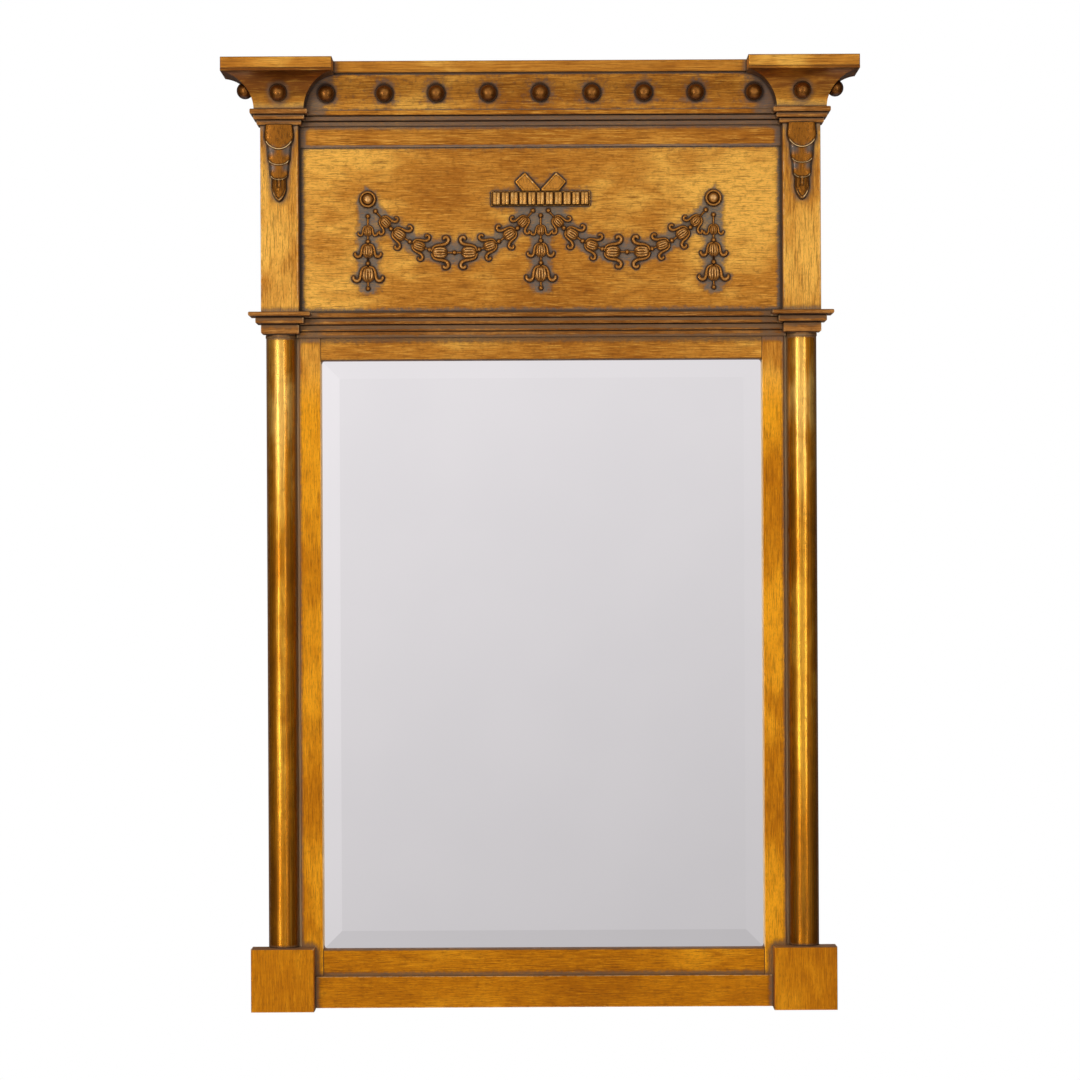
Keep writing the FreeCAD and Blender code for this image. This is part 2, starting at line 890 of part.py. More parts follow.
def ribbon_bar():
    pitch = ribbon_length / ribbon_reed_count
    level = rosette_level()
    low = level - ribbon_height / 2
    parts = [box(-ribbon_length / 2, ribbon_length / 2, panel_face - ribbon_base, panel_face, low,
                 low + ribbon_height)]
    radius = (pitch * pitch / 4 + ribbon_relief * ribbon_relief) / (2 * ribbon_relief)
    for count in range(ribbon_reed_count):
        x = pitch * (count + 1 / 2) - ribbon_length / 2
        foot = Vector(x, panel_face - ribbon_relief + radius, low)
        reed = Part.makeCylinder(radius, ribbon_height, foot, ALONG_Z)
        room = box(x - pitch / 2, x + pitch / 2, panel_face - ribbon_relief - overrun, panel_face,
                   low, low + ribbon_height)
        parts.append(reed.common(room))
    return fused(parts)


# Two ribbon tails that lean outward from the top of the bar
def bow():
    foot = rosette_level() + ribbon_height / 2
    points = [Vector(0, panel_face, foot), Vector(bow_foot_width, panel_face, foot),
              Vector(bow_reach, panel_face, foot + bow_shoulder),
              Vector(bow_tip_x, panel_face, foot + bow_rise),
              Vector(0, panel_face, foot + bow_throat)]
    tail = prism(points, Vector(0, -bow_thickness, 0))
    return fused([tail, mirrored(tail)])


# Husk drop: three overlapped scallops and a pointed bud
def crowned(blank, half, rim, top):
    rise = top - rim
    radius = (half * half + rise * rise) / (2 * rise)
    foot = Vector(0, radius - top, -husk_bud_drop - overrun)
    return blank.common(Part.makeCylinder(radius, husk_bud_drop + overrun, foot, ALONG_Z))


def scallop(bottom, width, relief):
    half = width / 2
    straight = husk_drops[0] - half
    arc_top = half - bottom
    plate = box(-half, half, -relief, 0, arc_top, min(arc_top + straight + husk_lap, 0))
    disc = Part.makeCylinder(half, relief, Vector(0, 0, arc_top), -ALONG_Y)
    return crowned(plate.fuse(disc), half, husk_rim_relief, relief)


def husk_bud(relief):
    half = husk_bud_width / 2
    top = -husk_drops[1]
    shoulder = -husk_bud_drop * (1 - husk_bud_point_share / 2)
    outline = [Vector(-half, 0, top), Vector(half, 0, top), Vector(half, 0, shoulder),
               Vector(0, 0, -husk_bud_drop), Vector(-half, 0, shoulder)]
    return crowned(prism(outline, Vector(0, -relief, 0)), half, husk_rim_relief - husk_step, relief)


def husk_drop():
    parts = []
    relief = husk_relief
    for bottom, width in zip(husk_drops, husk_widths):
        parts.append(scallop(bottom, width, relief))
        relief = relief - husk_step
    parts.append(husk_bud(relief))
    whole = fused(parts)
    whole.translate(Vector(column_axis_x, pilaster_face, neck_bottom))
    return whole


# Hangers on the back of the stiles
def hanger_strap():
    half = hanger_strap_width / 2
    foot = header_middle - hanger_strap_length
    plate = box(stile_middle_x - half, stile_middle_x + half, 0, hanger_strap_thickness,
                foot + half, header_middle)
    end = Part.makeCylinder(half, hanger_strap_thickness, Vector(stile_middle_x, 0, foot + half), ALONG_Y)
    start = Vector(stile_middle_x - hanger_eye_width / 2, eye_y, header_middle)
    eye = Part.makeCylinder(eye_outer, hanger_eye_width, start, ALONG_X)
    strap = fused([plate, end, eye])
    bore_start = start - ALONG_X * overrun
    strap = strap.cut(Part.makeCylinder(eye_inner, hanger_eye_width + 2 * overrun, bore_start, ALONG_X))
    for z in hanger_screw_levels():
        strap = strap.cut(screw_hole(stile_middle_x, hanger_strap_thickness, z, hanger_screw_length))
    return strap


def d_ring():
    wire = ring_wire_radius
    wide = ring_half_width
    bar = Part.makeCylinder(wire, 2 * wide, Vector(-wide, 0, 0), ALONG_X)
    parts = [bar]
    for side in (-1, 1):
        parts.append(Part.makeSphere(wire, Vector(side * wide, 0, 0)))
        parts.append(Part.makeCylinder(wire, ring_leg, Vector(side * wide, 0, 0), -ALONG_Z))
    section = Part.Face(Part.Wire(Part.makeCircle(wire, Vector(-wide, 0, -ring_leg), ALONG_Z)))
    parts.append(section.revolve(Vector(0, 0, -ring_leg), -ALONG_Y, 180))
    ring = fused(parts)
    ring.translate(Vector(stile_middle_x, eye_y, header_middle))
    return ring


def hanger_screws():
    solids = [wood_screw(stile_middle_x, hanger_strap_thickness, z, hanger_screw_length)
              for z in hanger_screw_levels()]
    return Part.makeCompound(solids + [mirrored(solid) for solid in solids])


def wall_bumpers():
    solids = []
    for z in (carcass_bottom + bumper_end_gap, carcass_top - bumper_end_gap):
        foot = Vector(stile_middle_x, 0, z)
        solids.append(Part.makeCylinder(bumper_radius, bumper_thickness, foot, ALONG_Y))
    return Part.makeCompound(solids + [mirrored(solid) for solid in solids])


def both_sides(name, right):
    return {name + "_left": mirrored(right), name + "_right": right}


def all_nodes():
    nodes = {}
    nodes.update(both_sides("carcass_stile", carcass_stile()))
    nodes["header_board"] = carcass_rail(opening_top, carcass_top)
    nodes["carcass_foot_rail"] = carcass_rail(carcass_bottom, opening_bottom)
    nodes["corner_dowels"] = corner_dowels()
    nodes["mirror_glass"] = mirror_glass()
    nodes["backing_board"] = backing_board()
    nodes["retaining_strips"] = retaining_strips()
    nodes["strip_pins"] = Part.makeCompound(strip_pin_list())
    nodes["face_screws"] = face_screws()
    nodes.update(both_sides("sight_stile", sight_stile()))
    nodes["sight_rail_top"] = sight_rail(sight_top, entablature_bottom, sight_top, -1)
    nodes["sight_rail_bottom"] = sight_rail(plinth_top, sight_bottom, sight_bottom, 1)
    nodes["plinth_rail"] = box(-block_inner_x, block_inner_x, face - plinth_thickness, face,
                               plinth_lift, plinth_top)
    nodes.update(both_sides("base_block", base_block()))
    nodes.update(both_sides("column", column()))
    nodes.update(both_sides("capital", capital()))
    nodes["entablature_moulding"] = entablature_moulding()
    nodes.update(both_sides("pilaster", pilaster()))
    nodes["frieze_panel"] = frieze_panel()
    nodes["frieze_top_band"] = frieze_top_band()
    nodes["neck_moulding_middle"] = middle_neck_moulding()
    nodes.update(both_sides("neck_moulding", corner_neck_moulding()))
    nodes["cove_middle"] = middle_cove()
    nodes["cap_board_middle"] = middle_cap()
    nodes.update(both_sides("corner_core", corner_core()))
    nodes.update(both_sides("cove_front", corner_cove_front()))
    nodes.update(both_sides("cove_outer", corner_cove_return(1)))
    nodes.update(both_sides("cove_inner", corner_cove_inner()))
    nodes.update(both_sides("cap_board", corner_cap()))
    nodes["cornice_balls"] = cornice_balls()
    nodes["corner_balls"] = corner_balls()
    nodes.update(both_sides("garland", garland()))
    nodes.update(both_sides("bellflower_drop", hanging_drop(rosette_x)))
    nodes["bellflower_drop_middle"] = hanging_drop(0)
    nodes["rosettes"] = Part.makeCompound([rosette(), mirrored(rosette())])
    nodes["ribbon_bar"] = ribbon_bar()
    nodes["bow"] = bow()
    nodes.update(both_sides("husk_drop", husk_drop()))
    nodes.update(both_sides("hanger_strap", hanger_strap()))
    nodes.update(both_sides("d_ring", d_ring()))
    nodes["hanger_screws"] = hanger_screws()
    nodes["wall_bumpers"] = wall_bumpers()
    return nodes


os.makedirs("parts", exist_ok=True)
for name, shape in all_nodes().items():
    shape.translate(Vector(0, 0, -header_middle))
    shape.exportStep("parts/" + name + ".step")
    print(name, len(shape.Solids), "solids, volume", round(shape.Volume), "valid", shape.isValid())
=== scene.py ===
import math
import bpy
import bmesh
from bmesh import ops
from mathutils import Matrix, Vector


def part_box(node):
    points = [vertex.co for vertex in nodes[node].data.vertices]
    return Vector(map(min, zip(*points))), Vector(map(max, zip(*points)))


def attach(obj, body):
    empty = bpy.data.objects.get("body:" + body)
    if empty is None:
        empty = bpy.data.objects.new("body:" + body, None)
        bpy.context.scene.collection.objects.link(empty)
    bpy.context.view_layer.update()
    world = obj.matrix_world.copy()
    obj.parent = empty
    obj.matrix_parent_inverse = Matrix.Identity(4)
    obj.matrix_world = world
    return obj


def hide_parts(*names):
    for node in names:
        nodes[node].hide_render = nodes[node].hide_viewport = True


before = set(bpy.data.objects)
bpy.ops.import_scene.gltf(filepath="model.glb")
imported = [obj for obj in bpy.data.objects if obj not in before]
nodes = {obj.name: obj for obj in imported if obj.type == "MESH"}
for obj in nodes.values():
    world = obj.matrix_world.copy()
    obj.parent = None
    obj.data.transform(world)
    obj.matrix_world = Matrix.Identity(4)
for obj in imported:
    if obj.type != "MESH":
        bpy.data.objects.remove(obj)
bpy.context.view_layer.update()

# Gilt pillar mirror. Everything is in metres, x to the right, y into the wall, z up.
mm = 0.001
scene = bpy.context.scene
print("frame loaded:", len(nodes), "nodes")


# Node helpers
# They all build in one tree, which newGroup, newMaterial and makeWorld set
tree = None


def startTree(fresh):
    global tree
    tree = fresh


def addNode(kind, **settings):
    node = tree.nodes.new("ShaderNode" + kind)
    for key, value in settings.items():
        setattr(node, key, value)
    return node


def feed(socket, source):  # a socket is linked, anything else is set as the value
    if isinstance(source, bpy.types.NodeSocket):
        tree.links.new(source, socket)
    elif socket.type == "RGBA":
        socket.default_value = (*source, 1.0)
    else:
        socket.default_value = source


def feedAll(node, **sources):
    for label, source in sources.items():
        feed(node.inputs[label], source)


def calc(operation, first, second=0.0, clamp=False):
    node = addNode("Math", operation=operation, use_clamp=clamp)
    feed(node.inputs[0], first)
    feed(node.inputs[1], second)
    return node.outputs[0]


def plus(total, *others):
    for other in others:
        total = calc("ADD", total, other)
    return total


def times(product, *others):
    for other in others:
        product = calc("MULTIPLY", product, other)
    return product


def minus(first, second):
    return calc("SUBTRACT", first, second)


def inverse(value):
    return calc("SUBTRACT", 1.0, value)


def size(value):
    return calc("ABSOLUTE", value)


def between(value, low, high):
    return calc("MINIMUM", calc("MAXIMUM", value, low), high)


def larger(first, second):
    return calc("MAXIMUM", first, second)


def ease(value, low, high, toLow=0.0, toHigh=1.0):
    node = addNode("MapRange", interpolation_type="SMOOTHSTEP")
    labels = ("Value", "From Min", "From Max", "To Min", "To Max")
    for label, source in zip(labels, (value, low, high, toLow, toHigh)):
        feed(node.inputs[label], source)
    return node.outputs["Result"]


def clouds(vector, scale, detail=3.0, roughness=0.5, distortion=0.0):
    node = addNode("TexNoise")
    feedAll(node, Vector=vector, Scale=scale, Detail=detail, Roughness=roughness, Distortion=distortion)
    return node.outputs["Fac"]


mixSockets = {"amount": 0, "under": 6, "over": 7, "mixed": 2}  # of a mix node set to colours


def layer(amount, under, over):
    node = addNode("Mix", data_type="RGBA", clamp_factor=True)
    for label, source in (("amount", amount), ("under", under), ("over", over)):
        feed(node.inputs[mixSockets[label]], source)
    return node.outputs[mixSockets["mixed"]]


def stretch(vector, amounts):
    node = addNode("VectorMath", operation="MULTIPLY")
    feed(node.inputs[0], vector)
    feed(node.inputs[1], amounts)
    return node.outputs[0]


def axes(kind, output):  # x, y and z of a vector that a node gives
    split = addNode("SeparateXYZ")
    feed(split.inputs[0], addNode(kind).outputs[output])
    return split.outputs


def shutIn(distance, samples, **settings):  # how closely a point is walled in, nought to one
    node = addNode("AmbientOcclusion", samples=samples, **settings)
    feed(node.inputs["Distance"], distance)
    return inverse(node.outputs["AO"])


def newGroup(name, inputs, outputs):  # inputs by name: None is a vector, three numbers are a colour
    group = bpy.data.node_groups.new(name, "ShaderNodeTree")
    startTree(group)
    for label, value in inputs.items():
        kind = "Vector" if value is None else "Color" if isinstance(value, tuple) else "Float"
        socket = group.interface.new_socket(name=label, in_out="INPUT", socket_type="NodeSocket" + kind)
        if value is not None:
            socket.default_value = (*value, 1.0) if kind == "Color" else value
    for label in outputs:
        kind = "Color" if label == "Color" else "Float"
        group.interface.new_socket(name=label, in_out="OUTPUT", socket_type="NodeSocket" + kind)
    return group.nodes.new("NodeGroupInput").outputs, group.nodes.new("NodeGroupOutput").inputs


def place(group, **values):  # one use of a group, with its own values
    node = addNode("Group", node_tree=group)
    feedAll(node, **values)
    return node.outputs


# Shared effects
# Brushed gold leaf: x of the vector runs with the brush
brush = {
    # scales along, across and across: of the hairs on the streaks, and of small clouds and broad drift
    "hairs": (4.2, 2, 2),
    "clouds": (26, 66, 66),
    "drift": (6.5, 11.5, 11.5),
}


def makeBrushMarks():
    inputs = {"Vector": None, "Along": 26.0, "Across": 620.0}
    given, result = newGroup("brushMarks", inputs, ["Streak", "Hair", "Cloud", "Drift"])
    combine = addNode("CombineXYZ")
    feedAll(combine, X=given["Along"], Y=given["Across"], Z=given["Across"])
    brushed = stretch(given["Vector"], combine.outputs[0])
    feed(result["Streak"], clouds(brushed, 1.0, 3.0, 0.6, 0.25))
    feed(result["Hair"], clouds(stretch(brushed, brush["hairs"]), 1.0, 2.0, 0.6))
    feed(result["Cloud"], clouds(stretch(given["Vector"], brush["clouds"]), 1.0, 2.0, 0.5, 0.5))
    feed(result["Drift"], clouds(stretch(given["Vector"], brush["drift"]), 1.0, 2.0))
    return tree


# Grey glaze that settles in corners and beside raised work, and the dark line in a joint, which is partly a
# dark joint and partly painted contact shadow
glazeAndShadeSteps = {
    "raggedScale": 170.0,
    "ledge": (0.25, 0.9),  # how far a face looks up before glaze lies on it
    "glaze": (0.09, 0.3),
    "stain": (-0.01, 0.16),
    "seamShadow": (0.1, 0.3),
}


def makeSettledGlaze():
    inputs = {"Vector": None, "Reach": 0.008, "Ledge": 0.25, "Settle": 0.0, "Ragged": 0.3, "Line": 0.0022}
    given, result = newGroup("glazeAndShade", inputs, ["Glaze", "Seam", "Stain"])
    hollow = shutIn(given["Reach"], 10)
    ragged = minus(clouds(given["Vector"], glazeAndShadeSteps["raggedScale"], 4.0, 0.62), 0.5)
    upward = ease(axes("NewGeometry", "Normal")["Z"], *glazeAndShadeSteps["ledge"])
    # the bands add grey by place: glaze, and painted shade beneath overhangs
    total = plus(hollow, times(ragged, given["Ragged"]), times(upward, given["Ledge"]), given["Settle"])
    feed(result["Glaze"], ease(total, *glazeAndShadeSteps["glaze"]))
    feed(result["Stain"], ease(total, *glazeAndShadeSteps["stain"]))
    # the dark line close against a neighbour: painted contact shadow as well as a dark joint
    feed(result["Seam"], ease(shutIn(given["Line"], 8), *glazeAndShadeSteps["seamShadow"]))
    return tree


# Corners rubbed bright, which also paints the highlight an outer edge catches: rays sent inward leave the wood
# near an outer edge
edgeRubAndGlint = {
    "edge": (0.2, 0.55),
    "gapScale": 160.0,
    "gaps": (0.36, 0.58),
}


def makeRubbedLitEdges():
    given, result = newGroup("rubbedLitEdges", {"Vector": None, "Width": 0.0022}, ["RubAndGlint"])
    edge = ease(shutIn(given["Width"], 8, inside=True, only_local=True), *edgeRubAndGlint["edge"])
    gaps = ease(clouds(given["Vector"], edgeRubAndGlint["gapScale"], 3.0, 0.6), *edgeRubAndGlint["gaps"])
    feed(result["RubAndGlint"], times(edge, gaps))
    return tree


brushMarks = makeBrushMarks()
glazeAndShade = makeSettledGlaze()
rubbedLitEdges = makeRubbedLitEdges()

# The golds of the frieze, of the lower half, which is a deeper orange, and of the mouldings
friezeGold = {"Deep": (0.4, 0.135, 0.013), "Gold": (0.54, 0.208, 0.024), "Bright": (0.89, 0.455, 0.076)}
orangeGold = {"Deep": (0.42, 0.128, 0.002), "Gold": (0.54, 0.178, 0.003), "Bright": (0.88, 0.36, 0.012),
              "Scratch": (0.13, 0.034, 0.003)}
mouldingGold = {"Deep": (0.28, 0.098, 0.015), "Gold": (0.43, 0.175, 0.038), "Bright": (0.68, 0.34, 0.09)}

skin = {
    "cloudShare": 0.34,  # small clouds and broad drift in the tone
    "driftShare": 0.66,
    "toGold": (0.32, 0.5),  # tones where deep gold turns to gold, and gold to bright gold
    "toBright": (0.48, 0.68),
    "darkStreaks": (0.5, 0.66),
    "lightStreaks": (0.47, 0.34, 0.0, 0.8),
    "hairs": (0.52, 0.7, 0.0, 0.55),
    "dryHairs": (0.34, 0.54, 0.55, 1.0),
    "stain": 0.45,
    # near black of the seam line: painted contact shadow and dark joint
    "seamShadow": (0.026, 0.011, 0.004),
    "roughness": 0.22,
    "metallic": 0.82,
    "streakRelief": 0.7,
    "hairRelief": 0.3,
    "relief": 0.12 * mm,
    "shine": 0.25,
}


# The whole gilt skin, from the three effects above
def makeGiltSkin():
    inputs = {"Vector": None, "Along": 42.0, "Across": 960.0, "Reach": 0.008, "Ledge": 0.25, "Settle": 0.0,
              "Glaze": 0.85, "Seam": 0.9, "Line": 0.0022, "Ragged": 0.3, "Lift": 0.0, "Streaks": 0.6,
              "RubAndGlint": 0.5, "Corner": 0.0022, "WornAndLit": 0.0, "Matt": 0.22, "Scratch": (0.12, 0.036, 0.006),
              "Grey": (0.135, 0.088, 0.056), "Edge": (0.86, 0.6, 0.3), **friezeGold}
    given, result = newGroup("giltSkin", inputs, ["Color", "Roughness", "Metallic", "Height"])
    marks = place(brushMarks, Vector=given["Vector"], Along=given["Along"], Across=given["Across"])
    glaze = place(glazeAndShade, Vector=given["Vector"], Reach=given["Reach"], Ledge=given["Ledge"],
                  Settle=given["Settle"], Line=given["Line"], Ragged=given["Ragged"])
    rubAndGlint = place(rubbedLitEdges, Vector=given["Vector"], Width=given["Corner"])["RubAndGlint"]
    # broad clouds from brown gold to yellow gold, then brush marks and fine scratches over them
    tone = plus(times(marks["Cloud"], skin["cloudShare"]), times(marks["Drift"], skin["driftShare"]))
    tone = plus(tone, given["Lift"])
    gold = layer(ease(tone, *skin["toGold"]), given["Deep"], given["Gold"])
    gold = layer(ease(tone, *skin["toBright"]), gold, given["Bright"])
    for name, over in (("darkStreaks", "Scratch"), ("lightStreaks", "Bright")):
        amount = times(ease(marks["Streak"], *skin[name]), given["Streaks"])
        gold = layer(amount, gold, given[over])
    gold = layer(ease(marks["Hair"], *skin["hairs"]), gold, given["Scratch"])
    gold = layer(times(glaze["Stain"], skin["stain"]), gold, given["Scratch"])
    greyed = times(glaze["Glaze"], given["Glaze"], ease(marks["Hair"], *skin["dryHairs"]))
    colour = layer(greyed, gold, given["Grey"])
    # bare gold at rubbed edges, which also paints the highlight an edge catches
    bareAndLit = larger(times(rubAndGlint, given["RubAndGlint"]), given["WornAndLit"])
    colour = layer(bareAndLit, colour, given["Edge"])
    seamShadow = times(glaze["Seam"], given["Seam"])
    feed(result["Color"], layer(seamShadow, colour, skin["seamShadow"]))
    rough = plus(times(marks["Streak"], skin["roughness"]), given["Matt"], times(greyed, skin["roughness"]))
    feed(result["Roughness"], rough)
    feed(result["Metallic"], times(inverse(greyed), skin["metallic"], inverse(seamShadow)))
    relief = plus(times(marks["Streak"], skin["streakRelief"]), times(marks["Hair"], skin["hairRelief"]))
    feed(result["Height"], relief)
    return tree


giltSkin = makeGiltSkin()

grain = {
    "bands": (3, 60, 60),
    "fibres": (45, 1500, 1500),
    "fibreShare": 0.7,
}


# Plain wood grain: x of the vector runs with the grain
def makeWoodGrain():
    inputs = {"Vector": None, "Light": (0.5, 0.3, 0.15), "Dark": (0.25, 0.13, 0.06), "Fineness": 1.0}
    given, result = newGroup("woodGrain", inputs, ["Color", "Height"])
    grained = stretch(given["Vector"], grain["bands"])
    bands = ease(clouds(grained, given["Fineness"], 5.0, 0.6, 1.1), 0.3, 0.72)
    fibres = clouds(stretch(given["Vector"], grain["fibres"]), 1.0, 2.0)
    streaks = times(minus(fibres, 0.5), grain["fibreShare"])
    amount = calc("ADD", bands, streaks, clamp=True)
    feed(result["Color"], layer(amount, given["Light"], given["Dark"]))
    feed(result["Height"], fibres)
    return tree


woodGrain = makeWoodGrain()
print("shared effects made")


# Materials
def newMaterial(name):
    material = bpy.data.materials.new(name)
    material.use_nodes = True
    startTree(material.node_tree)


def brushVector(upright):  # turns the brush marks along z for upright pieces
    mapping = addNode("Mapping")
    if upright:
        mapping.inputs["Rotation"].default_value = (0.0, math.radians(90.0), 0.0)
    feed(mapping.inputs["Vector"], addNode("TexCoord").outputs["Object"])
    return mapping.outputs[0]


def coat(colour, roughness, metallic, height, relief, shine=0.5):
    bump = addNode("Bump")
    feedAll(bump, Strength=1.0, Distance=relief, Height=height)
    looks = {"Base Color": colour, "Roughness": roughness, "Metallic": metallic, "Specular IOR Level": shine}
    feedAll(tree.nodes["Principled BSDF"], Normal=bump.outputs["Normal"], **looks)


# Bands by place on the piece, where grey is laid on thicker (glaze, and beneath overhangs painted shade), or
# the gold is
# painted lighter or darker: axis ("beside" is x counted both ways from the middle), from, to, softness in mm,
# amount
def positionBands(bands):
    spot = axes("TexCoord", "Object")
    total = 0.0
    for axis, low, high, soft, amount in bands:
        level = size(spot["X"]) if axis == "beside" else spot[axis]
        rise = ease(level, (low - soft) * mm, (low + soft) * mm, 0.0, amount)
        fall = ease(level, (high + soft) * mm, (high - soft) * mm)
        total = plus(total, times(rise, fall))
    return total


def giltMaterial(name, upright=False, bands=(), more=None, lifts=(), seams=(), rubs=(), worn=(), blend=None,
                 **values):
    newMaterial(name)
    if bands:
        values["Settle"] = positionBands(bands)
    if lifts:
        values["Lift"] = plus(positionBands(lifts), values.get("Lift", 0.0))
    if seams:
        values["Seam"] = plus(positionBands(seams), values["Seam"])
    if rubs:
        values["RubAndGlint"] = positionBands(rubs)
    if more:
        values["Settle"] = plus(values["Settle"], more())
    if worn:  # the bare line along the glass, worn and also a painted edge highlight, only as long as the opening
        values["WornAndLit"] = times(*[positionBands([band]) for band in worn])
    if blend:  # one run of gold passes softly into another
        share = positionBands([blend[0]])
        for label, colour in blend[1].items():
            values[label] = layer(share, values[label], colour)
    gilt = place(giltSkin, Vector=brushVector(upright), **values)
    coat(gilt["Color"], gilt["Roughness"], gilt["Metallic"], gilt["Height"], skin["relief"], skin["shine"])


frieze = {
    "roseX": 195.0 * mm,
    "roseZ": 14.15 * mm,
    "sag": 60.5 * mm,
    "swagPower": 2.3,  # shape of the swag between its rosettes
    "swagEnd": (1.06, 1.0),  # in half spans from the swag's middle
    "washHalf": (18.5 * mm, 4.0 * mm),  # from clean gold to full wash, beside a swag or drop
    "washFoot": (-98.0 * mm, -86.0 * mm),
    "washHead": (22.0 * mm, 12.0 * mm),
    "underRibbonHalf": (34.0 * mm, 23.0 * mm),
    "underRibbonFoot": (-20.0 * mm, -8.0 * mm),
    "washAmount": 0.31,
}


# Glaze brushed over the carving spreads onto the panel along the swags and drops
def washAlongSwags():
    spot = axes("TexCoord", "Object")
    across = size(spot["X"])
    along = size(minus(calc("DIVIDE", across, frieze["roseX"] / 2), 1.0))
    height = times(calc("POWER", along, frieze["swagPower"]), frieze["sag"])
    line = plus(height, frieze["roseZ"] - frieze["sag"])
    offSwag = size(minus(spot["Z"], line))
    swag = times(ease(offSwag, *frieze["washHalf"]), ease(along, *frieze["swagEnd"]))
    offRose = size(minus(across, frieze["roseX"]))
    drops = larger(ease(across, *frieze["washHalf"]), ease(offRose, *frieze["washHalf"]))
    hollow = times(ease(across, *frieze["underRibbonHalf"]), ease(spot["Z"], *frieze["underRibbonFoot"]))
    below = times(ease(spot["Z"], *frieze["washFoot"]), ease(spot["Z"], *frieze["washHead"]))
    return times(larger(swag, times(larger(drops, hollow), below)), frieze["washAmount"])


